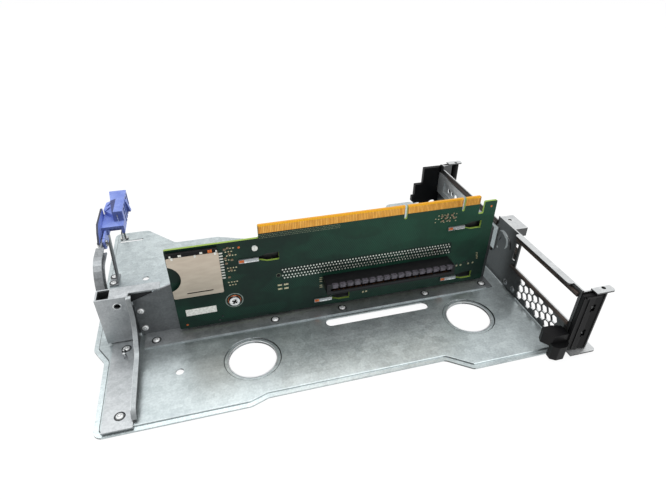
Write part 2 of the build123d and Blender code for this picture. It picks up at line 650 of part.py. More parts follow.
def latch_bracket():
    """The folded bracket at the left: a riveted foot, a swept side flange and the latch housing."""
    foot = block((FOOT_LEFT, FLANGE_X), (FOOT_FRONT, HOUSING_DEEP), (TRAY_TOP, TRAY_TOP + SHEET))
    low = TRAY_TOP
    sweep = (
        (FOOT_FRONT + 4.0, low),
        (HOUSING_DEEP, low),
        (HOUSING_DEEP, HOUSING_TOP),
        (-2.4, HOUSING_TOP),
        (-4.0, HOUSING_TOP - 14.0),
        (-9.0, low + FLANGE_HIGH + 8.0),
        (-20.0, low + FLANGE_HIGH),
        (FOOT_FRONT + 8.0, low + FLANGE_HIGH - 1.5),
    )
    flange = side_prism(sweep, (FLANGE_X - SHEET, FLANGE_X), corner=1.5)
    face = block((HOUSING_LEFT, FLANGE_X), (0, SHEET), (low + SHEET + 0.7, HOUSING_TOP))
    face -= bar_y(-32.0, HOUSING_TOP - 6.0, (0, SHEET), 3.6)
    top_z = (HOUSING_TOP - SHEET, HOUSING_TOP)
    top = block((HOUSING_LEFT, FLANGE_X), (0, HOUSING_DEEP), top_z)
    top += block((FLANGE_X, TONGUE_RIGHT), (WALL_Y - 0.6, HOUSING_DEEP), top_z)
    top -= block(LEVER_OPENING, (SHEET, HOUSING_DEEP - SHEET), top_z)
    top += block((HOUSING_LEFT, LEVER_OPENING[1]), (HOUSING_DEEP - SHEET, HOUSING_DEEP), (10.0, HOUSING_TOP))
    top += block((HOUSING_LEFT, HOUSING_LEFT + SHEET), (0, HOUSING_DEEP), (10.0, HOUSING_TOP))
    top += block((-33.2, -31.6), (-14.8, -13.2), (TRAY_TOP, TRAY_TOP + 5.0))
    back = block((HOUSING_LEFT, WALL_LEFT + 6.0), (WALL_Y + SHEET, WALL_Y + 2 * SHEET),
                 (low + SHEET + 0.7, 26.0))
    for x, z in SIDE_RIVETS:
        back -= bar_y(x, z, (WALL_Y + SHEET, WALL_Y + 2 * SHEET), RIVET_D)
    bracket = foot + flange + face + top + back
    for x, y in BRACKET_RIVETS[:2]:
        bracket -= post_z(x, y, (TRAY_TOP, TRAY_TOP + SHEET), RIVET_D)
    return bracket


def arch(drop):
    """The arm's curved front, moved in from its outer edge by a distance."""
    points = [(ARM_FRONT_Y + drop, TRAY_TOP)]
    for step in range(9):
        turn = math.radians(step * 90 / 8)
        y = ARM_FRONT_Y + ARM_CURVE_Y - (ARM_CURVE_Y - drop) * math.cos(turn)
        z = ARM_CURVE_Z + (ARM_TOP - drop - ARM_CURVE_Z) * math.sin(turn)
        points.append((y, z))
    return tuple(points)


def card_arm():
    """The steel arm of the card-end holder: an arched web with a turned lip and two riveted feet."""
    low_top = ARM_REAR_TOP - ARM_BAND
    front, back = ARM_REAR_Y
    outline = arch(0) + (
        (ARM_STEP_Y, ARM_TOP),
        (ARM_STEP_Y + 3.0, ARM_REAR_TOP),
        (back + ARM_REAR_LEAN, ARM_REAR_TOP),
        (back + ARM_REAR_LEAN, low_top),
        (back, TRAY_TOP),
        (front, TRAY_TOP),
        (front + ARM_REAR_LEAN - 1.0, low_top),
        (ARM_STEP_Y - 2.0, low_top),
        (ARM_STEP_Y - 6.0, ARM_TOP - ARM_BAND),
    ) + arch(ARM_BAND)[::-1]
    arm = side_prism(outline, ARM_X)
    lip_end = ARM_STEP_Y - 13.0
    for near, far, x in ((0, SHEET, ARM_STRIP), (ARM_BAND - SHEET, ARM_BAND, (ARM_X[1], ARM_X[1] + ARM_LIP))):
        strip = arch(near) + ((lip_end, ARM_TOP - near), (lip_end, ARM_TOP - far)) + arch(far)[::-1]
        arm += side_prism(strip, x)
    arm += block(ARM_FOOT_X, (front - 2.6, back + 6.0), (TRAY_TOP, TRAY_TOP + SHEET))
    x, y = ARM_RIVETS[2]
    arm += block((ARM_X[0], x + 3.4), (y - 3.0, y + 3.0), (TRAY_TOP, TRAY_TOP + SHEET))
    for x, y in ARM_RIVETS:
        arm -= post_z(x, y, (TRAY_TOP, TRAY_TOP + SHEET), RIVET_D)
    return arm - bar_x(*PIVOT_YZ, ARM_X, PIVOT_D)


def holder_pin():
    """The headed pin that the card-end holder swings on."""
    y, z = PIVOT_YZ
    left = WING_X[0]
    right = ARM_X[1] + FIT + CHEEK
    pin = bar_x(y, z, (left - FIT, right + FIT), PIVOT_D)
    pin += bar_x(y, z, (left - FIT - 0.8, left - FIT), PIVOT_HEAD_D)
    return pin + bar_x(y, z, (right + FIT, right + FIT + 0.8), PIVOT_HEAD_D)


def cheek(x):
    """One of the holder's two cheeks, rounded about the pivot."""
    y, z = PIVOT_YZ
    plate = block(x, (y, HOLDER_NECK_Y + 1.0), (z - 3.4, z + 4.0))
    plate += bar_x(y, z, x, 7.6)
    return plate - bar_x(y, z, x, PIVOT_D + 2 * RUNNING)


def card_holder():
    """The blue moulded card-end holder: two cheeks, a stepped body and a ribbed card channel."""
    left, right = HOLDER_X
    body = block((left - 2.9, right), (HOLDER_NECK_Y, HOLDER_END_Y - 4.0), (HOLDER_LOW, HOLDER_STEP_Z))
    body = fillet(body.edges().filter_by(Axis.Y), 0.6)
    block_outline = (
        (right, HOLDER_WALL_Y),
        (left + 5.0, HOLDER_WALL_Y),
        (left, HOLDER_END_Y),
        (right, HOLDER_END_Y),
    )
    body += flat_prism(block_outline, (HOLDER_LOW + 2.0, HOLDER_TOP), corner=0.6)
    shoulder = (
        (left + 6.0, HOLDER_WALL_Y + 2.0),
        (left - 2.6, HOLDER_WALL_Y + 13.0),
        (left - 2.0, HOLDER_END_Y - 9.0),
        (left + 3.0, HOLDER_END_Y - 5.0),
    )
    body += flat_prism(shoulder, (HOLDER_LOW + 2.0, HOLDER_TOP - 4.4), corner=0.5)
    low_z = (HOLDER_LOW, HOLDER_STEP_Z - 1.6)
    body -= block((left + 1.4, right - 2.0), (HOLDER_NECK_Y, HOLDER_NECK_Y + 5.0), low_z)
    for start in (84.0, 91.0):
        slot = (
            (left - 1.4, start),
            (left - 0.2, start),
            (left + 2.0, start + 5.0),
            (left + 0.8, start + 5.0),
        )
        body -= flat_prism(slot, (HOLDER_TOP - 9.0, HOLDER_TOP - 4.4))
    channel_z = (HOLDER_LOW, HOLDER_TOP - 2.2)
    body -= block((right - 4.0, right - 1.8), (HOLDER_WALL_Y + 4.0, HOLDER_END_Y), channel_z)
    for index in range(5):
        y = HOLDER_WALL_Y + 6.0 + index * 5.6
        body -= block((right - 1.8, right), (y, y + 2.6), (HOLDER_LOW, HOLDER_TOP - 1.2))
    hook_points = (
        (right, HOLDER_TOP - 10.0),
        (right + 2.6, HOLDER_TOP - 10.0),
        (right + 0.8, HOLDER_TOP - 1.6),
        (right, HOLDER_TOP - 1.6),
    )
    body += front_prism(hook_points, (HOLDER_END_Y - 16.0, HOLDER_END_Y - 12.4))
    y, z = PIVOT_YZ
    wing = (
        (y, z - 3.4),
        (y - 4.6, z + 2.4),
        (y + 0.6, WING_TOP - 3.4),
        (y + 6.0, WING_TOP),
        (WING_END_Y, WING_TOP),
        (WING_END_Y, z - 1.6),
        (HOLDER_NECK_Y, z - 1.9),
        (HOLDER_NECK_Y - 1.0, z - 3.4),
    )
    body += side_prism(wing, WING_X, corner=0.6)
    body -= bar_x(y, z, WING_X, PIVOT_D + 2 * RUNNING)
    return body + cheek((ARM_X[1] + FIT, ARM_X[1] + FIT + CHEEK))


def lobed_handle(y, out):
    """The front retainer's thumb handle: an upper lobe inside the bay over a lower one outside."""
    left = END_X - 15.0
    right = END_X - 0.8
    near = y + out * (FILLER_SHEET + SEAT)
    far = near + out * 1.4
    upper = (
        (left + 1.6, y - out * 6.6),
        (left + 8.0, y - out * 6.9),
        (right, y - out * 5.0),
        (right, near),
        (right + 1.6, near),
        (right + 1.6, far),
        (left + 4.0, far),
        (left, y - out * 3.0),
    )
    handle = flat_prism(upper, (8.6, 16.6), corner=0.6)
    lower = (
        (left + 3.4, y + out * 0.6),
        (right, y + out * 0.6),
        (right, y + out * 4.6),
        (left + 11.0, y + out * CLAMP_REACH),
        (left + 6.0, y + out * CLAMP_REACH),
        (left + 3.0, y + out * 5.0),
    )
    return handle + flat_prism(lower, (SHEET, 11.0), corner=1.2)


def broad_handle(y, out):
    """The rear retainer's handle: a broad plate with a step and a half-round notch."""
    near = y + out * (FILLER_SHEET + SEAT)
    far = near + out * 3.6
    handle = block((END_X - 15.5, END_X - 0.4), sorted((near, far)), (8.0, RETAINER_HIGH - 1.0))
    handle += block((END_X - 22.5, END_X - 15.5), sorted((near, far)), (12.0, 30.0))
    handle += block((END_X - 24.5, END_X - 22.5), sorted((near, far)), (14.0, 19.0))
    return handle - bar_y(END_X - 4.5, 9.0, sorted((near, far)), 8.0)


def retainer(y, out, handle):
    """A black moulded clamp that swings over the bracket's end on its hinge pin."""
    near = FILLER_SHEET + SEAT
    profile = (
        (-0.8, near),
        (-0.8, near + 1.8),
        (7.0, near + 2.8),
        (8.0, near + 1.9),
        (12.2, near + 3.4),
        (15.4, near + 1.6),
        (15.4, 0.6),
        (11.0, 0.6),
        (10.6, near),
    )
    points = [(END_X + u, y + out * v) for u, v in profile]
    z = (RETAINER_LOW, RETAINER_HIGH)
    pin_x = END_X + HINGE_REACH
    pin_y = y + out * 0.5
    clamp = flat_prism(points, z)
    clamp += post_z(pin_x, pin_y, z, HINGE_PIN_D + 2 * BARREL_WALL)
    for low in (13.6, 33.2):
        clamp -= block((END_X + 6.2, END_X + 9.4), sorted((y + out * (near + 1.0), y + out * (near + 4.0))),
                       (low, low + 5.0))
    clamp += handle(y, out)
    return clamp + post_z(pin_x, pin_y, (TRAY_TOP + 0.1, END_TOP - 0.5), HINGE_PIN_D)


def solder_joints():
    """The rear slot's soldered pin ends, four staggered rows on the board's front."""
    joints = []
    count = int((LONG_SLOT_LENGTH - 9.0) / JOINT_PITCH) + 1
    for row, step in enumerate((3.3, 1.3, -1.3, -3.3)):
        z = LONG_SLOT_Z + step
        for index in range(count):
            x = LONG_SLOT_X + 4.6 + index * JOINT_PITCH + (row % 2) * JOINT_PITCH / 2
            joints.append(block((x - 0.4, x + 0.4), (-0.4, 0), (z - 0.4, z + 0.4)))
    return group(joints)


def guide_pin():
    """The pointed pin at the tray's back left corner."""
    x, y = GUIDE_PIN_XY
    pin = post_z(x, y, (PRESS, TRAY_TOP + 6.0), GUIDE_PIN_D)
    pin += post_z(x, y, (TRAY_TOP, TRAY_TOP + 1.4), GUIDE_PIN_D + 3.0)
    tip = Pos(x, y, TRAY_TOP + 7.4) * Cone(GUIDE_PIN_D / 2, 0.6, 2.8)
    return pin + tip


REAR_END = BOARD_THICK + BAY_REAR
FRONT_GASKET_Y = (-BAY_FRONT + WINDOW_GAP, -FRONT_WINDOW_START + 4.0)
REAR_GASKET_Y = (REAR_WINDOW_START, REAR_END - 14.0)

PARTS = {
    "base_plate": base_plate(),
    "centre_wall": centre_wall(),
    "end_plate": end_plate(),
    "latch_bracket": latch_bracket(),
    "riser_board": riser_board(),
    "edge_contacts": edge_contacts(),
    "front_slot": front_slot(),
    "front_slot_contacts": slot_contacts(SLOT_X, SLOT_Z, SLOT_BODY_LENGTH, FRONT_KEY),
    "rear_slot": rear_slot(),
    "rear_slot_joints": solder_joints(),
    "sd_shell": sd_shell(),
    "sd_body": sd_body(),
    "sd_pins": sd_pins(),
    "board_screw": board_screw(),
    "board_standoff": board_standoff(),
    "capacitors": chips(CAPACITORS, (1.6, 0.8, 0.9)),
    "resistors": chips(RESISTORS, (1.2, 0.45, 0.7)),
    "blank_label": block((5.2, 23.9), (-0.12, 0), (14.8, 19.8)),
    "front_upper_gasket": gasket(FRONT_GASKET_Y, (41.7, 44.6)),
    "front_lower_gasket": gasket(FRONT_GASKET_Y, (20.0, 22.4)),
    "rear_upper_gasket": gasket(REAR_GASKET_Y, (40.6, 43.8)),
    "rear_lower_gasket": gasket(REAR_GASKET_Y, (18.2, 20.8)),
    "filler_panel": filler_panel(),
    "front_retainer": retainer(-BAY_FRONT, -1, lobed_handle),
    "rear_retainer": retainer(REAR_END, 1, broad_handle),
    "card_arm": card_arm(),
    "card_holder": card_holder(),
    "holder_pin": holder_pin(),
    "guide_pin": guide_pin(),
    "wall_rivets": tray_rivets(WALL_RIVETS),
    "bracket_rivets": tray_rivets(BRACKET_RIVETS),
    "end_plate_rivets": end_rivets(),
    "side_rivets": side_rivets(),
}

os.makedirs("parts", exist_ok=True)
for name, shape in PARTS.items():
    export_step(TO_MIDDLE * shape, f"parts/{name}.step")
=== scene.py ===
import math

import bmesh
import bpy
from mathutils import Matrix, Vector


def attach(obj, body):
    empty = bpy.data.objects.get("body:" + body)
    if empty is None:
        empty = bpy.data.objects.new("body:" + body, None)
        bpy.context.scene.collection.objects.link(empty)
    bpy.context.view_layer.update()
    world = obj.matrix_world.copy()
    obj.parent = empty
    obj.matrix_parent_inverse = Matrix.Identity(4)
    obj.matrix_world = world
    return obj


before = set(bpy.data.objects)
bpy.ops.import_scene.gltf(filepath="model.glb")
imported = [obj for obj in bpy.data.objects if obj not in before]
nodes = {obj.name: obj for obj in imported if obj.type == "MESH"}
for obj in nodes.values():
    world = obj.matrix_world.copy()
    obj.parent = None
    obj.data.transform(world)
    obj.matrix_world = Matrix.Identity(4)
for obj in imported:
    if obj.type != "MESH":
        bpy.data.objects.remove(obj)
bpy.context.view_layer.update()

# The tray: one sheet of galvanised steel, blanked and pressed so its middle stands above the rim.
# Two finger holes are ringed by a second small step, and the rim is left flat.
# Its places, as all others below, are in millimetres from the riser board's front left foot.
MIDDLE_X, MIDDLE_Y = 96.75, 27.9
FINGER_HOLES = ((41.1, -32.8), (185.5, -32.0))
HOLE_RADIUS, STEP_RADIUS, STEP_EDGE = 14.8, 16.7, 17.3
RIM_TOP = 1.1
# Places of the tray's painted sheen, and of the board's painted dark reflection on it.
SHEEN_BACK, SHEEN_RIGHT = (2.0, 9.0), (-20.0, 120.0)
REFLECTION_FRONT, REFLECTION_BACK, REFLECTION_SIDES = (-17.0, -9.0), 3.0, (2.0, 200.0)
SHADOW = (0.006, 0.006, 0.007, 1.0)


class Tone:
    """A shader socket whose maths reads like plain arithmetic."""

    def __init__(self, tree, out=None):
        self.tree, self.out = tree, out

    def node(self, kind, settings=(), **values):
        """Any other node: its type, its settings, then its sockets' values or links by name or number."""
        made = self.tree.nodes.new(kind)
        for setting, value in dict(settings).items():
            setattr(made, setting, value)
        for name, value in values.items():
            socket = made.inputs[int(name[1:]) if name[1:].isdigit() else name.replace("_", " ")]
            if isinstance(value, Tone):
                self.tree.links.new(value.out, socket)
            else:
                socket.default_value = value
        return Tone(self.tree, made.outputs[0])

    def also(self, output):
        """Another output of the same node."""
        return Tone(self.tree, self.out.node.outputs[output])

    def feeds(self, shader, name):
        self.tree.links.new(self.out, shader.inputs[name])

    def raises(self, shader, strength, distance):
        """A fine relief on the shader, as high as this value."""
        self.node("ShaderNodeBump", Height=self, Strength=strength, Distance=distance).feeds(shader, "Normal")

    def math(self, operation, *others):
        values = {f"i{k}": value for k, value in enumerate((self, *others))}
        return self.node("ShaderNodeMath", {"operation": operation}, **values)

    def __add__(self, other):
        return self.math("ADD", other)

    def __mul__(self, other):
        return self.math("MULTIPLY", other)

    def __sub__(self, other):
        return self.math("SUBTRACT", other)

    def __rsub__(self, other):
        return self * -1.0 + other

    __radd__, __rmul__ = __add__, __mul__

    def above(self, other):
        return self.math("GREATER_THAN", other)

    def below(self, other):
        return self.math("LESS_THAN", other)

    def within(self, low, high):
        """1 from the low value to the high one, with sharp ends."""
        return self.above(low) * self.below(high)

    def highest(self, other):
        return self.math("MAXIMUM", other)

    def modulo(self, other):
        return self.math("FLOORED_MODULO", other)

    def size(self):
        return self.math("ABSOLUTE")

    def root(self):
        return self.math("SQRT")

    def between(self, low, high):
        """0 at the low value, 1 at the high one, and a smooth step from one to the other."""
        return self.node("ShaderNodeMapRange", {"interpolation_type": "SMOOTHSTEP"}, Value=self,
                         From_Min=low, From_Max=high)

    def blend(self, start, end):
        """The start colour where this is 0 and the end colour where it is 1."""
        return self.node("ShaderNodeMix", {"data_type": "RGBA"}, i0=self, i6=start, i7=end).also(2)

    def noise(self, scale, detail=3.0, stretch=(1, 1, 1)):
        """Smooth noise over this place in metres, with an optional stretch."""
        mapped = self.node("ShaderNodeMapping", Vector=self, Scale=stretch)
        return self.node("ShaderNodeTexNoise", Vector=mapped, Scale=scale, Detail=detail)


def rgb(text):
    """A display colour written as six hex digits, as linear values."""
    parts = [int(text[i:i + 2], 16) / 255 for i in (0, 2, 4)]
    return tuple(c / 12.92 if c < 0.04045 else ((c + 0.055) / 1.055) ** 2.4 for c in parts) + (1.0,)


def material(name):
    """A new material: itself, its principled shader and the surface's own place in metres."""
    made = bpy.data.materials.new(name)
    made.use_nodes = True
    place = Tone(made.node_tree).node("ShaderNodeTexCoord").also("Object")
    return made, made.node_tree.nodes["Principled BSDF"], place


def board_place(place):
    """The surface's place in millimetres from the board's front left foot."""
    split = place.node("ShaderNodeSeparateXYZ", Vector=place)
    x, y, z = (split.also(k) * 1000.0 for k in range(3))
    return x + MIDDLE_X, y + MIDDLE_Y, z


def facing(place):
    """How far the surface faces right, back and up, each from -1 to 1."""
    split = place.node("ShaderNodeSeparateXYZ", Vector=place.node("ShaderNodeNewGeometry").also("Normal"))
    return [split.also(k) for k in range(3)]


def distance(across, up, middle):
    """The distance of a place from a middle, in millimetres."""
    across, up = across - middle[0], up - middle[1]
    return (across * across + up * up).root()


def galvanised(name, light, dark, rough=0.34, metallic=0.85, upright=1.0, bend=(0.5, 0.97), shading=None):
    """Hot-dip zinc on steel: soft crystal patches, faint rolling lines and small handling scratches.

    Upright faces are painted darker, as painted shade, and they bend to level ones between two steepnesses."""
    made, shader, place = material(name)
    crystals = place.node("ShaderNodeTexVoronoi", Vector=place, Scale=260.0).also("Color")
    patch = place.node("ShaderNodeSeparateColor", Color=crystals)
    cloud = place.noise(38.0, 4.0)
    fine = place.noise(900.0, 2.0)
    rolled = place.noise(160.0, 3.0, (0.06, 3.0, 1.0))
    tone = (cloud * 0.28 + patch * 0.12 + fine * 0.4 + rolled * 0.2).between(0.12, 0.88)
    shade = facing(place)[2].between(*bend) * (1.0 - upright) + upright
    if shading:
        shade = shading(place, shade)
    shade.blend(SHADOW, tone.blend(rgb(dark), rgb(light))).feeds(shader, "Base Color")
    scratch = place.noise(420.0, 2.0, (0.15, 1.0, 1.0)).between(0.70, 0.78)
    gloss = cloud * 0.08 + fine * 0.08 + patch * 0.04 + scratch * -0.04
    (gloss + (rough - 0.08)).feeds(shader, "Roughness")
    shader.inputs["Metallic"].default_value = metallic
    (fine * 0.7 + patch * 0.3).raises(shader, 0.08, 0.00003)
    return made


def dress(finish, *names):
    """Gives CAD nodes their finish."""
    for name in names:
        nodes[name].data.materials.clear()
        nodes[name].data.materials.append(finish)


def tray_shading(place, shade):
    """Painted light and shade: a painted sheen on the holes' rings, the right end, the part behind the board
    and the low rim; front faces painted lighter; left-facing slopes and the holes' edges and steps painted
    darker; and a painted dark reflection of the board just in front of it.
    """
    x, y, z = board_place(place)
    # Painted sheen: lighter behind the board, towards the right end and on the low rim.
    sheen = y.between(*SHEEN_BACK).highest(x.between(*SHEEN_RIGHT)).highest(z.below(RIM_TOP) * 1.2)
    rightward, backward, upward = facing(place)
    # Painted light on faces that look forward, painted shade on slopes that look left.
    shade = shade.highest(backward.below(-0.6) * 0.7) * (1.0 - rightward.below(-0.2) * 0.7)
    for hole in FINGER_HOLES:
        away = distance(x, y, hole)
        # Round each hole: a painted sheen on its ring, and painted shade at the hole's edge and at the step's
        # edge.
        sheen = sheen.highest(away.within(HOLE_RADIUS, STEP_RADIUS) * 1.3)
        shade = shade * (1.0 - away.below(HOLE_RADIUS) * 0.4 - away.within(STEP_RADIUS, STEP_EDGE) * 0.55)
    # Painted dark reflection of the board on the tray just in front of it.
    board_reflection = y.between(*REFLECTION_FRONT) * y.below(REFLECTION_BACK) * x.within(*REFLECTION_SIDES)
    return shade * (sheen * 0.22 + 0.78) * (1.0 - board_reflection * 0.2)


dress(galvanised("galvanised_sheet", light="E7F1F2", dark="A8B3B6", rough=0.32, upright=0.3,
                 bend=(0.15, 0.6), shading=tray_shading), "base_plate")

# The finger holes' beads: each hole's inner edge is rolled over, so it has a bright round bead.
# They are the tray's own sheet, drawn as short straight lengths round each hole.
BEAD_COUNT, BEAD_LENGTH, BEAD_RADIUS, BEAD_REACH = 96, 0.99, 0.42, 14.7


def at(x, y, z):
    """Board millimetres to the frame's metres."""
    return Vector(((x - MIDDLE_X) / 1000, (y - MIDDLE_Y) / 1000, z / 1000))


def turned(angle, axis):
    return Matrix.Rotation(math.radians(angle), 4, axis)


def moved(x, y, z):
    return Matrix.Translation(at(x, y, z))


def piece(name, bm, finish, body="frame"):
    """A finished mesh piece that rides with a CAD body."""
    mesh = bpy.data.meshes.new(name)
    bm.to_mesh(mesh)
    bm.free()
    obj = bpy.data.objects.new(name, mesh)
    bpy.context.collection.objects.link(obj)
    mesh.materials.append(finish)
    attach(obj, body)
    return obj


def smooth_by_angle(obj, degrees=32.0):
    """Round faces shade smoothly and folds stay sharp."""
    for polygon in obj.data.polygons:
        polygon.use_smooth = True
    obj.data.set_sharp_from_angle(angle=math.radians(degrees))


beads = bmesh.new()
for x, y in FINGER_HOLES:
    for k in range(BEAD_COUNT):
        spin = moved(x, y, RIM_TOP) @ turned(k * 360 / BEAD_COUNT, "Z")
        spin = spin @ Matrix.Translation((BEAD_REACH / 1000, 0, 0)) @ turned(90, "X")
        bmesh.ops.create_cone(beads, cap_ends=False, segments=10, radius1=BEAD_RADIUS / 1000,
                              radius2=BEAD_RADIUS / 1000, depth=BEAD_LENGTH / 1000, matrix=spin)
bead_sheet = galvanised("bead_sheet", light="E8ECED", dark="C0C4C7", rough=0.4, upright=0.5)
smooth_by_angle(piece("finger_hole_beads", beads, bead_sheet))

# The rivets' seats: each rivet presses the sheet, which leaves a narrow groove round its head. A thin dark
# ring lies round each head there, as painted shadow of the groove.
SEATS = ((-15.0, -3.6), (59.7, -3.6), (105.6, -3.6), (166.4, -3.6), (211.0, -3.6),
         (-32.4, -6.5), (-32.0, -57.2), (-46.6, 72.4), (-46.6, 64.6), (-36.2, 21.0))
SEAT_INSIDE, SEAT_OUTSIDE, SEAT_LOW, SEAT_HIGH = 2.32, 2.95, 2.8, 2.85


def ring(bm, middle, inner, outer, low, high, upright=False, sides=40):
    """A flat ring between two radii, which lies on a sheet or stands on the board's front."""
    rims = []
    for level in (low, high):
        for radius in (inner, outer):
            places = [(middle[0] + radius * math.cos(k * math.tau / sides),
                       middle[1] + radius * math.sin(k * math.tau / sides)) for k in range(sides)]
            rims.append([bm.verts.new(at(a, level, b) if upright else at(a, b, level)) for a, b in places])
    made = []
    for a, b in ((0, 1), (1, 3), (3, 2), (2, 0)):
        for k in range(sides):
            after = (k + 1) % sides
            made.append(bm.faces.new((rims[a][k], rims[a][after], rims[b][after], rims[b][k])))
    bmesh.ops.recalc_face_normals(bm, faces=made)


seats = bmesh.new()
for seat in SEATS:
    ring(seats, seat, SEAT_INSIDE, SEAT_OUTSIDE, SEAT_LOW, SEAT_HIGH, sides=32)
seat_shadow = galvanised("seat_shadow", light="34373A", dark="1E2022", rough=0.5, metallic=0.5)
piece("rivet_seat_shadows", seats, seat_shadow)

# The tray's rivets: zinc-plated steel, headed cold, with low pressed heads painted paler than the sheet, as a
# painted highlight. The groove under each head and the small pressed dimple on it are painted dark by the
# surface's steepness, as painted shade.
HEAD_STEEP, DIMPLE_STEEPNESS = 0.80, (0.945, 0.972)
pale_rivet, shader, place = material("pale_rivet")
wear = place.noise(700.0)
rightward, backward, upward = facing(place)
level = upward.highest(backward * -1.0)
# Painted shade on the head's steep rim and on the dimple's ring.
dark = level.within(*DIMPLE_STEEPNESS).highest(level.below(HEAD_STEEP)) * 0.8
dark.blend(rgb("E9EBEB"), rgb("2C2E30")).feeds(shader, "Base Color")
(wear * 0.2 + 0.22).feeds(shader, "Roughness")
shader.inputs["Metallic"].default_value = 0.3
dress(pale_rivet, "wall_rivets", "bracket_rivets", "side_rivets")

# The end plate's rivets: the same plated steel, painted darker as painted shade of the corner.
# Their heads hold the plate's three feet on the tray.


def worn(name, dark, light, scale, rough, metallic=0.0, detail=3.0, spread=(0.3, 0.7), vary=0.2,
         stretch=(1, 1, 1)):
    """A finish whose colour and gloss vary together in fine soft patches."""
    made, shader, place = material(name)
    wear = place.noise(scale, detail, stretch)
    wear.between(*spread).blend(rgb(dark), rgb(light)).feeds(shader, "Base Color")
    (wear * vary + rough).feeds(shader, "Roughness")
    shader.inputs["Metallic"].default_value = metallic
    return made


dress(worn("shaded_rivet", dark="55585A", light="8B8E90", scale=700.0, rough=0.34, metallic=0.8),
      "end_plate_rivets")

# The pins, the board's screw and its threaded spacer: bright plated steel, turned or headed cold.
# Faces that face neither up, down, forward nor back are painted dark, as painted shade.
bright_steel, shader, place = material("bright_steel")
wear = place.noise(700.0)
rightward, backward, upward = facing(place)
# Painted shade on faces turned sideways or slanted.
level = upward.size().highest(backward.size()).between(0.84, 0.97)
steel = wear.between(0.3, 0.7).blend(rgb("B4B7B8"), rgb("F0F2F2"))
level.blend(rgb("3A3C3E"), steel).feeds(shader, "Base Color")
(wear * 0.2 + 0.16).feeds(shader, "Roughness")
shader.inputs["Metallic"].default_value = 0.9
dress(bright_steel, "guide_pin", "holder_pin", "board_screw", "board_standoff")

# The centre wall: galvanised sheet folded forward at its foot and riveted to the tray.
# It stands behind the board, and its hooks reach round to the front. Its sheet is painted darker than the
# tray's, as painted shade and a painted reflection of the dark board.
HOOKS_BACK, HOOKS_LOW, HOOKS_RIGHT = 3.9, 3.0, 209.0
FOOT_FRONT, BEHIND_BOARD, WALL_RIGHT = -8.55, (34.0, 211.0), 212.2


def wall_shading(place, shade):
    """Painted light and shade: the hooks in front of the board and the foot's cut edge are painted lighter,
    and the wall's right end and its front behind the board are painted darker.
    """
    x, y, z = board_place(place)
    hooks = y.below(HOOKS_BACK) * z.above(HOOKS_LOW) * x.below(HOOKS_RIGHT)
    behind = facing(place)[1].below(-0.5) * y.above(HOOKS_BACK) * x.within(*BEHIND_BOARD)
    lit = shade.highest(hooks * 1.6).highest(y.below(FOOT_FRONT))
    return lit * (1.0 - x.above(WALL_RIGHT) * 0.4 - behind * 0.65)


dress(galvanised("wall_sheet", light="C4C8CA", dark="8A8E91", rough=0.4, upright=0.42,
                 shading=wall_shading), "centre_wall")

# The end plate: galvanised sheet with punched windows and vent, folded shelves, ears and tab.
# It stands on three feet riveted at the tray's right edge.
# A pressed crescent and a small pressed dimple inside its tall bay are painted lighter, as painted
# highlights.
CRESCENT, CRESCENT_RADIUS = (4.0, 33.6), 6.7
SHADED_DISC, SHADED_RADIUS = (6.4, 31.4), 6.9
DIMPLE, DIMPLE_RADIUS = (8.2, 24.7), 0.8
BAY_FACE = 227.0


def end_shading(place, shade):
    """Painted highlights: the crescent, the part of one disc that another leaves bare, and the dimple are
    painted lighter.
    """
    x, y, z = board_place(place)
    disc_place = distance(y, z, CRESCENT).below(CRESCENT_RADIUS)
    crescent = disc_place * distance(y, z, SHADED_DISC).above(SHADED_RADIUS)
    lit = crescent.highest(distance(y, z, DIMPLE).below(DIMPLE_RADIUS)) * x.below(BAY_FACE)
    return shade.highest(lit * 0.5)


dress(galvanised("end_sheet", light="F4F6F6", dark="C8CBCD", upright=0.11, shading=end_shading), "end_plate")

# The filler panel: thin tinned steel with a raised middle and a row of vent holes.
# It is held in the end plate's window by its own folded edges.
dress(galvanised("filler_sheet", light="D9DCDC", dark="A3A7A9", rough=0.36), "filler_panel")

# The latch bracket: one folded galvanised sheet, riveted to the tray at its foot.
# Its tall housing is open behind, and its flange sweeps down towards the front.
HOUSING_FRONT, HOUSING_LOW, HOUSING_TOP, FLANGE_RIGHT = 1.04, 3.2, 35.95, (-25.02, -24.9)
BRACKET_FOOT_TOP, BRACKET_FOOT_BACK = 3.6, -1.0


def bracket_shading(place, shade):
    """Painted shade: the housing's inside, the flange's right side and the foot are painted darker."""
    x, y, z = board_place(place)
    inside = y.above(HOUSING_FRONT) * z.within(HOUSING_LOW, HOUSING_TOP)
    right = x.within(*FLANGE_RIGHT) * z.below(HOUSING_TOP + 0.1)
    foot = z.below(BRACKET_FOOT_TOP) * y.below(BRACKET_FOOT_BACK)
    return shade * (1.0 - inside.highest(right) * 0.72) * (1.0 - foot * 0.16)


dress(galvanised("bracket_sheet", light="DEE2E4", dark="A3A8AB", upright=0.66, shading=bracket_shading),
      "latch_bracket")

# The latch flange's rolled edge: the sheet is turned over along the flange's swept front.
# It is the same galvanised sheet, painted darker than the bracket as painted shade.
LIP_CORNERS = ((-0.4, 37.0), (-2.5, 36.9), (-4.1, 23.2), (-9.1, 16.4),
               (-20.0, 8.4), (-57.6, 6.9), (-61.6, 3.0))
LIP_SWEEP, LIP_SIDES, LIP_THICKNESS = 4.0, (-25.6, -23.1), 0.7


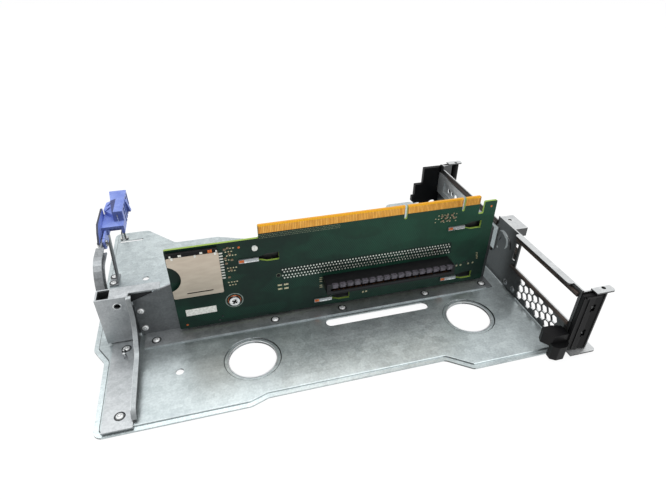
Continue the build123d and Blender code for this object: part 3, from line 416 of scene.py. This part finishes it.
def rounded(points, radius, steps=5):
    """A path whose inner corners are swept round."""
    path = [points[0]]
    for a, b, c in zip(points, points[1:], points[2:]):
        a, b, c = Vector(a), Vector(b), Vector(c)
        reach = min(radius, (a - b).length / 2, (c - b).length / 2)
        start, end = b + (a - b).normalized() * reach, b + (c - b).normalized() * reach
        for k in range(steps + 1):
            t = k / steps
            path.append(tuple(start * (1 - t) ** 2 + b * (2 * t * (1 - t)) + end * t ** 2))
    return path + [points[-1]]


def ribbon(bm, path, sides, thick):
    """A strip between two places across that follows a path of places along and up."""
    rows = []
    for k, (y, z) in enumerate(path):
        before = Vector(path[max(k - 1, 0)])
        after = Vector(path[min(k + 1, len(path) - 1)])
        along = (after - before).normalized()
        inward = Vector((along.y, -along.x)) * thick
        corners = ((sides[0], 0, 0), (sides[1], 0, 0), (sides[1], *inward), (sides[0], *inward))
        rows.append([bm.verts.new(at(x, y + dy, z + dz)) for x, dy, dz in corners])
    for a, b in zip(rows, rows[1:]):
        for k in range(4):
            after = (k + 1) % 4
            bm.faces.new((a[k], a[after], b[after], b[k]))
    bm.faces.new(rows[0])
    bm.faces.new(rows[-1][::-1])
    bmesh.ops.recalc_face_normals(bm, faces=bm.faces)


lip = bmesh.new()
ribbon(lip, rounded(LIP_CORNERS, LIP_SWEEP), LIP_SIDES, LIP_THICKNESS)
lip_sheet = galvanised("lip_sheet", light="B6BBBC", dark="888D90", rough=0.4, upright=0.62)
smooth_by_angle(piece("flange_lip", lip, lip_sheet))

# Dark boxes close behind the housing's face and under its right flange, as painted shade. They make the small
# round hole and the gap over the wall look dark.
SHADOW_BOXES = (((-35.4, 2.6, 25.0), (-26.4, 3.2, 35.8)), ((-24.8, 4.3, 29.6), (-12.0, 4.9, 35.9)))


def bar(bm, low, high):
    """A plain box between two opposite corners."""
    size = [(b - a) / 1000 for a, b in zip(low, high)]
    middle = [(a + b) / 2 for a, b in zip(low, high)]
    bmesh.ops.create_cube(bm, size=1.0, matrix=moved(*middle) @ Matrix.Diagonal((*size, 1.0)))


shadow_box = bmesh.new()
for low, high in SHADOW_BOXES:
    bar(shadow_box, low, high)
shadow_box_sheet = galvanised("shadow_box_sheet", light="2E3032", dark="1C1D1F", rough=0.5, metallic=0.5)
piece("housing_shadow_box", shadow_box, shadow_box_sheet)

# The housing's small round hole: it is pierced, so its edge is turned over into a bright rim.
# The rim is the same steel, left bright as a painted highlight on the turned edge.
PIERCED_HOLE, PIERCED_INSIDE, PIERCED_OUTSIDE, RIM_PROUD = (-32.0, 31.0), 1.85, 2.5, 0.06
rim = bmesh.new()
ring(rim, PIERCED_HOLE, PIERCED_INSIDE, PIERCED_OUTSIDE, -RIM_PROUD, 0.0, upright=True)
piece("housing_hole_rim", rim, bright_steel)

# The latch stop: a small bright stud on the bracket's foot, turned from steel and staked in.
# It leans back a little and ends in a round knob.
STUD_MIDDLE, STUD_LENGTH, STUD_LEAN, STUD_RADII = (-32.4, -14.0, 4.9), 4.4, 14, (0.9, 0.8)
KNOB_MIDDLE, KNOB_RADIUS = (-32.4, -13.4, 7.4), 1.3


def ball(bm, middle, radius, around, rows):
    bmesh.ops.create_uvsphere(bm, u_segments=around, v_segments=rows, radius=radius / 1000,
                              matrix=moved(*middle))


stop = bmesh.new()
bmesh.ops.create_cone(stop, cap_ends=True, segments=20, radius1=STUD_RADII[0] / 1000,
                      radius2=STUD_RADII[1] / 1000, depth=STUD_LENGTH / 1000,
                      matrix=moved(*STUD_MIDDLE) @ turned(STUD_LEAN, "X"))
ball(stop, KNOB_MIDDLE, KNOB_RADIUS, 18, 10)
smooth_by_angle(piece("latch_stop", stop, bright_steel))

# The holder's arm: a cut and folded steel strip, riveted to the tray by two small feet.
# Its slanted leg carries the holder's pin.
LEG, LEG_RISE = (57.5, 74.0), (4.0, 9.0)


def arm_shading(place, shade):
    """Painted shade: the slanted leg is painted darker, for the arch's shade."""
    x, y, z = board_place(place)
    return shade * (1.0 - y.within(*LEG) * z.between(*LEG_RISE) * 0.6)


dress(galvanised("arm_sheet", light="B4B8BA", dark="74787C", rough=0.4, upright=0.7, shading=arm_shading),
      "card_arm")

# The contact strips: thin brown spring steel, clipped along the windows' edges.
# They are rolled along their length, so their streaks run that way.
brown_spring, shader, place = material("brown_spring")
streak = place.noise(240.0, 4.0, (1.0, 0.15, 1.0))
streak.between(0.3, 0.7).blend(rgb("1B1817"), rgb("564A44")).feeds(shader, "Base Color")
(streak * 0.3 + 0.3).feeds(shader, "Roughness")
shader.inputs["Metallic"].default_value = 0.5
dress(brown_spring, "front_upper_gasket", "front_lower_gasket", "rear_upper_gasket", "rear_lower_gasket")

# The short window's spring clip: a narrow strip that stands in the window's left end.
# It is cut from the same spring steel as the contact strips, and its edges are broken.
CLIP_LOW, CLIP_HIGH, CLIP_EDGE = (226.7, -13.6, 27.0), (227.2, -10.6, 36.6), 0.1


def bevelled(bm, width):
    bmesh.ops.bevel(bm, geom=bm.edges[:], offset=width / 1000, segments=2, affect="EDGES", profile=0.5)


clip = bmesh.new()
bar(clip, CLIP_LOW, CLIP_HIGH)
bevelled(clip, CLIP_EDGE)
piece("window_clip", clip, brown_spring)

# The bracket clamps: black glass-filled nylon, moulded with a fine grain.
# The riser's rear slot and the card socket's body are moulded from the same kind of black plastic.
black_plastic, shader, place = material("black_plastic")
grain = place.noise(1400.0, 2.0)
cloud = place.noise(60.0)
(cloud * 0.7 + grain * 0.3).between(0.3, 0.75).blend(rgb("020203"), rgb("0B0B0E")).feeds(shader, "Base Color")
(grain * 0.16 + 0.4).feeds(shader, "Roughness")
shader.inputs["Specular IOR Level"].default_value = 0.2
grain.raises(shader, 0.16, 0.00005)
dress(black_plastic, "front_retainer", "rear_retainer", "rear_slot", "sd_body")

# The clamps' ribs, which are moulded with them, and the spring ends that show in their openings.
# The springs are bent from plated steel and hold the clamps open or shut.
CLAMPS = (("front_clamp", -74.0, -1), ("rear_clamp", 105.8, 1))
RIB_ROOT, RIB_WIDTH, RIB_LOW, RIB_HIGH = 2.6, 0.8, 4.0, 45.2
RIBS = ((226.0, 3.5), (229.4, 4.0), (238.0, 4.9))
TOP_RIB, TOP_RIB_REACH, TOP_RIB_HEIGHTS = (227.0, 239.0), 4.2, (44.0, 45.4)
RIB_EDGE = 0.15
SPRING_SIDES, SPRING_REACH, SPRING_HEIGHTS = (234.2, 235.4), (2.0, 2.3), ((14.4, 16.4), (34.0, 36.0))


def reach_bar(bm, sides, face, outward, reach, heights):
    """A bar that stands out from a clamp's face, between two reaches from it."""
    ends = sorted(face + outward * r for r in reach)
    bar(bm, (sides[0], ends[0], heights[0]), (sides[1], ends[1], heights[1]))


for body, face, outward in CLAMPS:
    ribs = bmesh.new()
    for x, reach in RIBS:
        reach_bar(ribs, (x, x + RIB_WIDTH), face, outward, (RIB_ROOT, reach), (RIB_LOW, RIB_HIGH))
    reach_bar(ribs, TOP_RIB, face, outward, (RIB_ROOT, TOP_RIB_REACH), TOP_RIB_HEIGHTS)
    bevelled(ribs, RIB_EDGE)
    piece(body + "_ribs", ribs, black_plastic, body)
    springs = bmesh.new()
    for heights in SPRING_HEIGHTS:
        reach_bar(springs, SPRING_SIDES, face, outward, SPRING_REACH, heights)
    piece(body + "_springs", springs, bright_steel, body)

# The card-end holder: periwinkle blue nylon, moulded in one piece with its two cheeks.
# It turns on a pin through the arm's leg, and its pocket takes a card's corner.
POCKET_FLOOR, POCKET_RIGHT, POCKET_CORNER, POCKET_SLANT = 55.2, -35.8, (-37.8, 91.6), 0.7
GROOVES, GROOVES_TOP, GROOVES_FRONT = (-33.9, -30.06), 54.3, 76.0
LEFT_CHEEK = -44.45
blue_plastic, shader, place = material("blue_plastic")
grain = place.noise(1100.0, 2.0)
cloud = place.noise(90.0)
x, y, z = board_place(place)
rightward, backward, upward = facing(place)
# Painted shade: faces that look forward, a pocket on the block's top, the grooves in the right side and the
# undersides are painted dark navy.
ahead = (y - (x - POCKET_CORNER[0]) * POCKET_SLANT).below(POCKET_CORNER[1])
pocket = z.above(POCKET_FLOOR) * x.below(POCKET_RIGHT) * ahead
grooves = x.within(*GROOVES) * z.below(GROOVES_TOP) * y.above(GROOVES_FRONT)
underside = upward.below(-0.5)
shaded = (backward.below(-0.7) * 0.62).highest(pocket * 0.85).highest(grooves.highest(underside) * 0.8)
blue = (cloud * 0.7 + grain * 0.3).between(0.25, 0.75).blend(rgb("5B70BE"), rgb("8C9FE0"))
deep = shaded.blend(blue, rgb("141C52"))
x.below(LEFT_CHEEK).blend(deep, rgb("2C3044")).feeds(shader, "Base Color")
(grain * 0.15 + 0.38).feeds(shader, "Roughness")
grain.raises(shader, 0.12, 0.00005)
dress(blue_plastic, "card_holder")

# The holder's small spring: a bright wire that stands in front of its stepped wall.
# Its pivot pin's end shows in the dark hollow of the cheek.
WIRE_LOW, WIRE_HIGH = (-33.9, 72.5, 44.9), (-33.5, 72.85, 53.2)
PIVOT_END, PIVOT_RADIUS = (-41.2, 56.0, 41.7), 0.9
wire = bmesh.new()
bar(wire, WIRE_LOW, WIRE_HIGH)
ball(wire, PIVOT_END, PIVOT_RADIUS, 14, 8)
smooth_by_angle(piece("holder_spring", wire, bright_steel, "holder"))

# The front slot: black moulded polyester whose mouth has a row of shallow square recesses.
# The recesses' floors are painted a little paler, as a painted reflection from their glossy floors.
RECESS_FLOOR, RECESS_LOW = (-10.95, -10.55), 27.0
slot_black, shader, place = material("slot_black")
x, y, z = board_place(place)
grain = place.noise(1400.0, 2.0)
floor_of_recess = y.within(*RECESS_FLOOR) * z.above(RECESS_LOW)
skin = grain.blend(rgb("040405"), rgb("101014"))
floor_of_recess.blend(skin, rgb("4A474D")).feeds(shader, "Base Color")
(grain * 0.2 + 0.36).feeds(shader, "Roughness")
shader.inputs["Specular IOR Level"].default_value = 0.3
grain.raises(shader, 0.16, 0.00005)
dress(slot_black, "front_slot")

# The slot's mouth pads: pale squares moulded over the recesses along the mouth's upper half.
# They are the same plastic as the slot, painted paler as a painted reflection, over two plain moulded rails.
MOUTH = -11.2
PAD_FIRST, PAD_STEP, PAD_COUNT, PAD_WIDTH = 98.5, 4.98, 17, 3.5
PAD_MIDDLE, PAD_HEIGHT, PAD_PROUD = 28.25, 2.7, 0.13
EDGE_MIDDLE, EDGE_HEIGHT, EDGE_DEPTH = 29.65, 0.16, 1.9
RAIL_MIDDLE, RAIL_LENGTH, RAIL_HEIGHTS, RAIL_WIDTH, RAIL_PROUD = 137.6, 88.0, (22.6, 24.9), 0.3, 0.12


def tile(bm, x, z, wide, high, front=-0.05, back=0.0):
    """A thin flat pad on a face that looks forward, such as the board's."""
    bar(bm, (x - wide / 2, front, z - high / 2), (x + wide / 2, back, z + high / 2))


pads = bmesh.new()
for column in range(PAD_COUNT):
    middle = PAD_FIRST + column * PAD_STEP
    tile(pads, middle, PAD_MIDDLE, PAD_WIDTH, PAD_HEIGHT, MOUTH - PAD_PROUD, MOUTH)
    tile(pads, middle, EDGE_MIDDLE, PAD_WIDTH, EDGE_HEIGHT, MOUTH - PAD_PROUD, MOUTH + EDGE_DEPTH)
sheen_black = worn("sheen_black", dark="2C2930", light="57525B", scale=800.0, rough=0.35)
piece("slot_mouth_pads", pads, sheen_black)
rails = bmesh.new()
for z in RAIL_HEIGHTS:
    tile(rails, RAIL_MIDDLE, z, RAIL_LENGTH, RAIL_WIDTH, MOUTH - RAIL_PROUD, MOUTH)
piece("slot_mouth_rails", rails, black_plastic)

# The two slots' contacts: phosphor bronze springs with a thin gold plate, deep in the slots' shade.
# The rear slot's two rows of spring ends stand in its long mouth, parted by a card's key rib.
SPRING_FIRST, SPRING_COUNT, SPRING_ROWS, SPRING_BACK = 66.0, 117, (35.55, 37.05), 10.2
KEY_MIDDLE, KEY_HALF = 172.0, 1.9
SPRING_SIZE = (0.55, 4.0, 0.45)
shaded_gold = worn("shaded_gold", dark="2A160C", light="9A6430", scale=600.0, rough=0.3, metallic=0.7,
                   spread=(0.4, 0.75))
dress(shaded_gold, "front_slot_contacts")
springs = bmesh.new()
spring_size = Matrix.Diagonal((*(side / 1000 for side in SPRING_SIZE), 1.0))
for column in range(SPRING_COUNT):
    x = SPRING_FIRST + column
    if abs(x - KEY_MIDDLE) > KEY_HALF:
        for z in SPRING_ROWS:
            bmesh.ops.create_cube(springs, size=1.0, matrix=moved(x, SPRING_BACK, z) @ spring_size)
piece("rear_slot_springs", springs, shaded_gold)

# The riser board: green solder mask over copper on glass laminate, its copper paths showing faintly.
# Its cut edges show the bare laminate, and the plated edge over the contacts is gold.
# It hangs on the wall's hooks and is held by one screw.
EDGE_CONNECTOR, CONNECTOR_FOOT, CONNECTOR_HEAD = (54.2, 199.2), (67.9, 73.9), (72.4, 73.0)
SOLDERED_BAND, BAND_HEIGHT, BAND_HALF = (66.0, 183.5), 36.3, 4.6
PATH_STEP, PATH_SLANT = 1.3, 0.62
PALER_RIGHT, PALER_UP, PLATED_TOP = (36.75, 176.75), (10.0, 60.0), 73.4
board_green, shader, place = material("board_green")
x, y, z = board_place(place)
rightward, backward, upward = facing(place)
cloud = place.noise(70.0, 4.0)
fine = place.noise(420.0, 2.0)
zone = place.noise(42.0, 1.0, (0.5, 1.0, 1.6)).between(0.50, 0.56)
path = ((x - MIDDLE_X + z * PATH_SLANT).modulo(PATH_STEP) - PATH_STEP / 2).size().between(0.32, 0.42)
lighter = x.between(*PALER_RIGHT) * z.between(*PALER_UP)
green = (cloud * 0.5 + fine * 0.15 + lighter * 0.35).between(0.2, 0.8).blend(rgb("081E18"), rgb("123A2A"))
band = (z - BAND_HEIGHT).size().below(BAND_HALF) * x.within(*SOLDERED_BAND)
traced = (path * zone * 0.25).blend((band * 0.6).blend(green, rgb("030F0C")), rgb("1D5440"))
laminate = z.between(*CONNECTOR_HEAD).blend(rgb("A8742C"), rgb("D99E22"))
face = (z.within(*CONNECTOR_FOOT) * x.within(*EDGE_CONNECTOR)).blend(traced, laminate)
plated = z.above(PLATED_TOP) * upward.above(0.5)
cut_edge = plated.blend(rgb("8BA54A"), rgb("D69A2E"))
backward.size().between(0.5, 0.6).blend(cut_edge, face).feeds(shader, "Base Color")
(cloud * 0.12 + 0.36).feeds(shader, "Roughness")
shader.inputs["Specular IOR Level"].default_value = 0.22
(path * zone).raises(shader, 0.2, 0.00003)
dress(board_green, "riser_board")

# The edge contacts: copper fingers with a hard gold plate, slightly worn where they wipe.
# They run up both faces of the board's top edge and are brightest at their tips.
gold_plate, shader, place = material("gold_plate")
x, y, z = board_place(place)
wear = place.noise(500.0, 3.0, (1.0, 1.0, 0.2))
gold = wear.between(0.3, 0.7).blend(rgb("D2923A"), rgb("F0B65A"))
z.between(*CONNECTOR_HEAD).blend(gold, rgb("F2B21E")).feeds(shader, "Base Color")
(wear * 0.2 + 0.24).feeds(shader, "Roughness")
shader.inputs["Metallic"].default_value = 0.85
dress(gold_plate, "edge_contacts")

# The board's bare solder pads: tinned copper squares, left open in the solder mask.
# They stand in small groups beside the slots, the socket and the screw.
LEFT_PADS, LEFT_STEP, LEFT_SIZE = 33.6, 1.7, (0.9, 0.7)
LEFT_ROWS = (60.6, 58.4, 55.6, 52.6, 46.6, 44.4, 36.0, 33.8)
UPPER_PADS, UPPER_STEP, UPPER_DROP, UPPER_SIZE = (168.6, 63.6), 2.1, 2.6, (0.8, 0.6)
STAGGER = 0.5
WIDE_PADS, WIDE_SIZE = ((64.8, 27.7), (64.8, 24.6), (68.9, 27.6), (68.9, 24.5)), (2.8, 1.2)
STACK_MIDDLE, STACK_ROWS, STACK_SIZE = 91.8, (28.4, 27.0, 25.4, 22.2, 20.7), (1.8, 0.5)
SQUARE_PADS = ((190.2, 20.0), (193.4, 20.0), (199.2, 20.3), (202.7, 20.5), (121.3, 10.6), (123.6, 10.6))
SQUARE_SIZE = (1.2, 1.2)
SLANTED_PADS, SLANTED_STEP, SLANTED_DROP, SLANTED_SIZE = (204.4, 28.6), 0.25, 1.2, (1.3, 0.5)
pads = bmesh.new()
for row, z in enumerate(LEFT_ROWS):
    for column in range(4 - row % 2):
        tile(pads, LEFT_PADS + column * LEFT_STEP + row % 3 * STAGGER, z, *LEFT_SIZE)
for column in range(8):
    for row in range(3):
        if (column * 3 + row) % 5:
            drop = row * UPPER_DROP + column % 2 * STAGGER
            tile(pads, UPPER_PADS[0] + column * UPPER_STEP, UPPER_PADS[1] - drop, *UPPER_SIZE)
for x, z in WIDE_PADS:
    tile(pads, x, z, *WIDE_SIZE)
for z in STACK_ROWS:
    tile(pads, STACK_MIDDLE, z, *STACK_SIZE)
for x, z in SQUARE_PADS:
    tile(pads, x, z, *SQUARE_SIZE)
for step in range(5):
    tile(pads, SLANTED_PADS[0] + step * SLANTED_STEP, SLANTED_PADS[1] - step * SLANTED_DROP, *SLANTED_SIZE)
bare_pads = worn("bare_pads", dark="8F8460", light="D9D2B4", scale=1500.0, rough=0.25, metallic=0.6,
                 detail=2.0)
piece("board_pads", pads, bare_pads)

# The board's plated holes: three rows of small ones under the edge contacts, and two wide rings.
# Each is copper, plated through the board and half covered by the solder mask.
HOLE_FIRST, HOLE_COUNT, HOLE_TOP, HOLE_DROP, VIA_RADIUS = 54.6, 50, 66.9, 1.1, 0.27
WIDE_RINGS, WIDE_RING_INSIDE, WIDE_RING_OUTSIDE, RING_PROUD = ((64.4, 35.6), (170.8, 36.6)), 1.1, 1.5, 0.06


def disc(bm, x, z, radius, front=-0.05, sides=14):
    """A thin round pad on the board's front."""
    bmesh.ops.create_cone(bm, cap_ends=True, segments=sides, radius1=radius / 1000, radius2=radius / 1000,
                          depth=-front / 1000, matrix=moved(x, front / 2, z) @ turned(90, "X"))


vias = bmesh.new()
for column in range(HOLE_COUNT):
    for row in range(3):
        disc(vias, HOLE_FIRST + column + row % 2 * STAGGER, HOLE_TOP - row * HOLE_DROP, VIA_RADIUS, sides=8)
for middle in WIDE_RINGS:
    ring(vias, middle, WIDE_RING_INSIDE, WIDE_RING_OUTSIDE, -RING_PROUD, 0.0, upright=True)
small_holes = worn("small_plated_holes", dark="4E5A4A", light="7E876F", scale=900.0, rough=0.3,
                   metallic=0.4, detail=2.0)
piece("board_vias", vias, small_holes)

# Soldered feet and pin ends: tin-silver solder, wetted into small shiny fillets.
# The rear slot's pins come through the board in four staggered rows, each with a low dome of solder.
FILLET_ROWS, FILLET_FIRST, FILLET_STEP, FILLET_COUNT = (3.3, 1.3, -1.3, -3.3), 67.1, 2.0, 58
FILLET_RADIUS, FILLET_PROUD = 0.52, 0.32
tinned_metal = worn("tinned_metal", dark="B9BAB2", light="EFEFE8", scale=1600.0, rough=0.2, metallic=0.85,
                    detail=2.0)
dress(tinned_metal, "rear_slot_joints", "sd_pins")
fillets = bmesh.new()
for row, step in enumerate(FILLET_ROWS):
    for column in range(FILLET_COUNT):
        middle = FILLET_FIRST + column * FILLET_STEP + row % 2
        disc(fillets, middle, BAND_HEIGHT + step, FILLET_RADIUS, front=-FILLET_PROUD, sides=10)
piece("solder_fillets", fillets, tinned_metal)

# The rear slot's two locating pegs fill the board's plain holes and look black from the front.
# They are moulded with the slot.
PEGS, PEG_RADIUS, PEG_PROUD = ((64.4, 35.6), (171.4, 36.2)), 1.25, 0.12
pegs = bmesh.new()
for x, z in PEGS:
    disc(pegs, x, z, PEG_RADIUS, front=-PEG_PROUD, sides=24)
piece("locating_pegs", pegs, black_plastic)

# The blank label: white paper, stuck on the board.
# The wall's pale plastic spacer plugs the board's third plain hole and looks the same.
PLUG, PLUG_RADIUS, PLUG_PROUD = (51.3, 58.3), 1.75, 0.5
label_paper = worn("label_white", dark="C2C4BE", light="E2E3DE", scale=900.0, rough=0.45)
dress(label_paper, "blank_label")
plug = bmesh.new()
disc(plug, *PLUG, PLUG_RADIUS, front=-PLUG_PROUD, sides=28)
piece("plain_plug", plug, label_paper)

# The board's bare copper: three round alignment marks and the ring under the screw's head.
# The mask is left open over them, so the copper has turned brown.
ROUND_MARKS, MARK_RADIUS = ((42.0, 60.4), (4.6, 7.8), (208.2, 65.2)), 0.75
SCREW, COPPER_INSIDE, COPPER_OUTSIDE, COPPER_PROUD = (35.5, 21.5), 3.3, 4.1, 0.08
marks = bmesh.new()
for x, z in ROUND_MARKS:
    disc(marks, x, z, MARK_RADIUS)
ring(marks, SCREW, COPPER_INSIDE, COPPER_OUTSIDE, -COPPER_PROUD, 0.0, upright=True)
bare_copper = worn("bare_copper", dark="A24A22", light="D87B45", scale=900.0, rough=0.3, metallic=0.7,
                   detail=2.0)
piece("copper_marks", marks, bare_copper)

# The screw's printed ring: pale ink round the place for the head.
# It is printed on the solder mask and has greyed.
INK_INSIDE, INK_OUTSIDE, INK_PROUD = 5.0, 5.6, 0.04
inked = bmesh.new()
ring(inked, SCREW, INK_INSIDE, INK_OUTSIDE, -INK_PROUD, 0.0, upright=True)
pale_ink = worn("pale_ink", dark="5E6964", light="7F8A84", scale=900.0, rough=0.5, detail=2.0)
piece("screw_ring", inked, pale_ink)

# The screw's cross recess: a black cross in the bright head, as painted shade of the recess.
# It is struck cold, and a little off the upright.
RECESS_TURN, RECESS_DEPTH, RECESS_SIZE = 38, -1.6, (3.4, 0.2, 0.9)
cross = bmesh.new()
for turn in (RECESS_TURN, RECESS_TURN + 90):
    size = Matrix.Diagonal((*(side / 1000 for side in RECESS_SIZE), 1.0))
    spin = moved(SCREW[0], RECESS_DEPTH, SCREW[1]) @ turned(turn, "Y")
    bmesh.ops.create_cube(cross, size=1.0, matrix=spin @ size)
piece("screw_recess", cross, black_plastic)

# The hooks' left ends: the board's bare copper pads show where each hook clamps the board.
# A thin bright steel line under each hook is a painted highlight on the hook's lower cut edge.
HOOK_FACE, HOOK_BACK = -1.24, -1.14
HOOKS = ((41.0, 50.6), (178.5, 52.4), (87.0, 10.6), (178.5, 10.6))
COPPER_SIDES, COPPER_HEIGHTS = (0.2, 3.2), (-0.8, 1.0)
SHINE_SIDES, SHINE_HEIGHTS = (3.4, 11.8), (-1.2, -0.3)
hook_pads = bmesh.new()
hook_edge_shine = bmesh.new()
for x, z in HOOKS:
    for bm, sides, heights in ((hook_pads, COPPER_SIDES, COPPER_HEIGHTS),
                               (hook_edge_shine, SHINE_SIDES, SHINE_HEIGHTS)):
        bar(bm, (x + sides[0], HOOK_FACE, z + heights[0]), (x + sides[1], HOOK_BACK, z + heights[1]))
piece("hook_pads", hook_pads, bare_copper)
piece("hook_edge_shine", hook_edge_shine, bright_steel)

# The board's small fired parts: tan capacitors and dark resistors, soldered flat on its front.
# Both are ceramic with tinned ends.
dress(worn("ceramic_tan", dark="4A3E31", light="8E7B62", scale=1500.0, rough=0.4, detail=2.0), "capacitors")
dress(worn("ceramic_dark", dark="17181B", light="3A3B40", scale=1500.0, rough=0.3, detail=2.0), "resistors")

# The memory card socket's cover: thin bright stainless sheet, brushed along the card's path.
# It snaps over the socket's black body.
dress(worn("socket_cover", dark="BEB1A1", light="C7BBAB", scale=380.0, rough=0.26, metallic=0.8, vary=0.14,
           stretch=(0.3, 1.0, 1.2)), "sd_shell")

# The socket's small parts: a dark moulded rail over the cover, with bright spring ends on it.
# A gold switch contact sits at its right end, and each spring's solder foot is tinned.
RAIL_LOW, RAIL_HIGH, RAIL_EDGE = (0.9, -2.6, 60.7), (29.6, -0.2, 63.4), 0.15
SPRING_ENDS = ((2.6, 1.0), (7.6, 1.8), (19.6, 1.6), (25.0, 1.0), (28.6, 0.8))
END_DEPTHS, END_HEIGHTS = (-2.85, -2.55), (61.3, 62.6)
SOLDER_FEET, FOOT_WIDTH, FOOT_DEPTHS, FOOT_HEIGHTS = (3.4, 16.2, 27.6), 1.2, (-3.0, -2.6), (59.6, 61.2)
SWITCH_LOW, SWITCH_HIGH = (24.2, -3.0, 61.4), (26.6, -2.6, 63.2)
rail = bmesh.new()
bar(rail, RAIL_LOW, RAIL_HIGH)
bevelled(rail, RAIL_EDGE)
piece("socket_rail", rail, black_plastic)
ends = bmesh.new()
for x, wide in SPRING_ENDS:
    bar(ends, (x, END_DEPTHS[0], END_HEIGHTS[0]), (x + wide, END_DEPTHS[1], END_HEIGHTS[1]))
for x in SOLDER_FEET:
    bar(ends, (x, FOOT_DEPTHS[0], FOOT_HEIGHTS[0]), (x + FOOT_WIDTH, FOOT_DEPTHS[1], FOOT_HEIGHTS[1]))
piece("socket_springs", ends, tinned_metal)
switch = bmesh.new()
bar(switch, SWITCH_LOW, SWITCH_HIGH)
piece("socket_switch", switch, bare_copper)

# The photo table: a plain pale floor that looks white and keeps the object's shadow.
# The camera stands at the front left, above the object, where the photograph's perspective puts it.
# Soft boxes hang high behind and at both sides, and the room's own light fills the rest.
FLOOR_DROP, FLOOR_WHITE, WHITE_SHARE = -0.0003, 1.05, 0.86
CAMERA_PLACE, LENS, FILM_WIDTH = (-0.06395, -0.2691, 0.2176), 25.92, 36.0
CAMERA_AXES = ((0.9648, -0.2631, 0.0069), (0.1416, 0.5411, 0.8290), (-0.2218, -0.7988, 0.5593))
ROOM_LIGHT = 0.75

floor_mesh = bmesh.new()
bmesh.ops.create_grid(floor_mesh, x_segments=1, y_segments=1, size=6.0)
floor_data = bpy.data.meshes.new("floor")
floor_mesh.to_mesh(floor_data)
floor_mesh.free()
floor = bpy.data.objects.new("floor", floor_data)
floor.location.z = FLOOR_DROP
bpy.context.collection.objects.link(floor)
floor_finish, shader, place = material("floor")
shader.inputs["Base Color"].default_value = (0.86, 0.86, 0.86, 1.0)
shader.inputs["Roughness"].default_value = 0.9
rays = place.node("ShaderNodeLightPath")
mirrored = rays.also("Is Glossy Ray").highest(rays.also("Is Transmission Ray"))
seen = rays.also("Is Camera Ray").highest(mirrored)
white = place.node("ShaderNodeEmission", Color=(1, 1, 1, 1), Strength=FLOOR_WHITE)
pale = Tone(place.tree, shader.outputs[0])
mixed = place.node("ShaderNodeMixShader", Fac=seen * WHITE_SHARE, i1=pale, i2=white)
mixed.feeds(place.tree.nodes["Material Output"], "Surface")
floor_data.materials.append(floor_finish)

world = bpy.data.worlds.new("studio")
bpy.context.scene.world = world
world.use_nodes = True
background = world.node_tree.nodes["Background"]
background.inputs["Color"].default_value = (1.0, 1.0, 1.0, 1.0)
background.inputs["Strength"].default_value = ROOM_LIGHT


def soft_light(name, place, aim, size, power):
    """A square soft box that faces a point."""
    lamp = bpy.data.objects.new(name, bpy.data.lights.new(name, "AREA"))
    lamp.data.size = size
    lamp.data.energy = power
    lamp.location = place
    lamp.rotation_euler = (Vector(aim) - Vector(place)).to_track_quat("-Z", "Y").to_euler()
    bpy.context.collection.objects.link(lamp)


soft_light("high_light", place=(-0.12, 0.28, 1.1), aim=(0, 0, 0), size=1.1, power=6.3)
soft_light("side_light", place=(-0.9, -0.5, 0.7), aim=(-0.05, 0, 0.02), size=0.6, power=0.8)
soft_light("right_light", place=(0.75, -0.75, 0.8), aim=(0.06, -0.05, 0), size=1.6, power=7.8)

camera = bpy.data.objects.new("camera", bpy.data.cameras.new("camera"))
camera.data.lens = LENS
camera.data.sensor_width = FILM_WIDTH
camera.data.dof.use_dof = False
camera.matrix_world = Matrix.Translation(CAMERA_PLACE) @ Matrix(CAMERA_AXES).transposed().to_4x4()
bpy.context.collection.objects.link(camera)
bpy.context.scene.camera = camera
bpy.context.scene.view_settings.view_transform = "Standard"
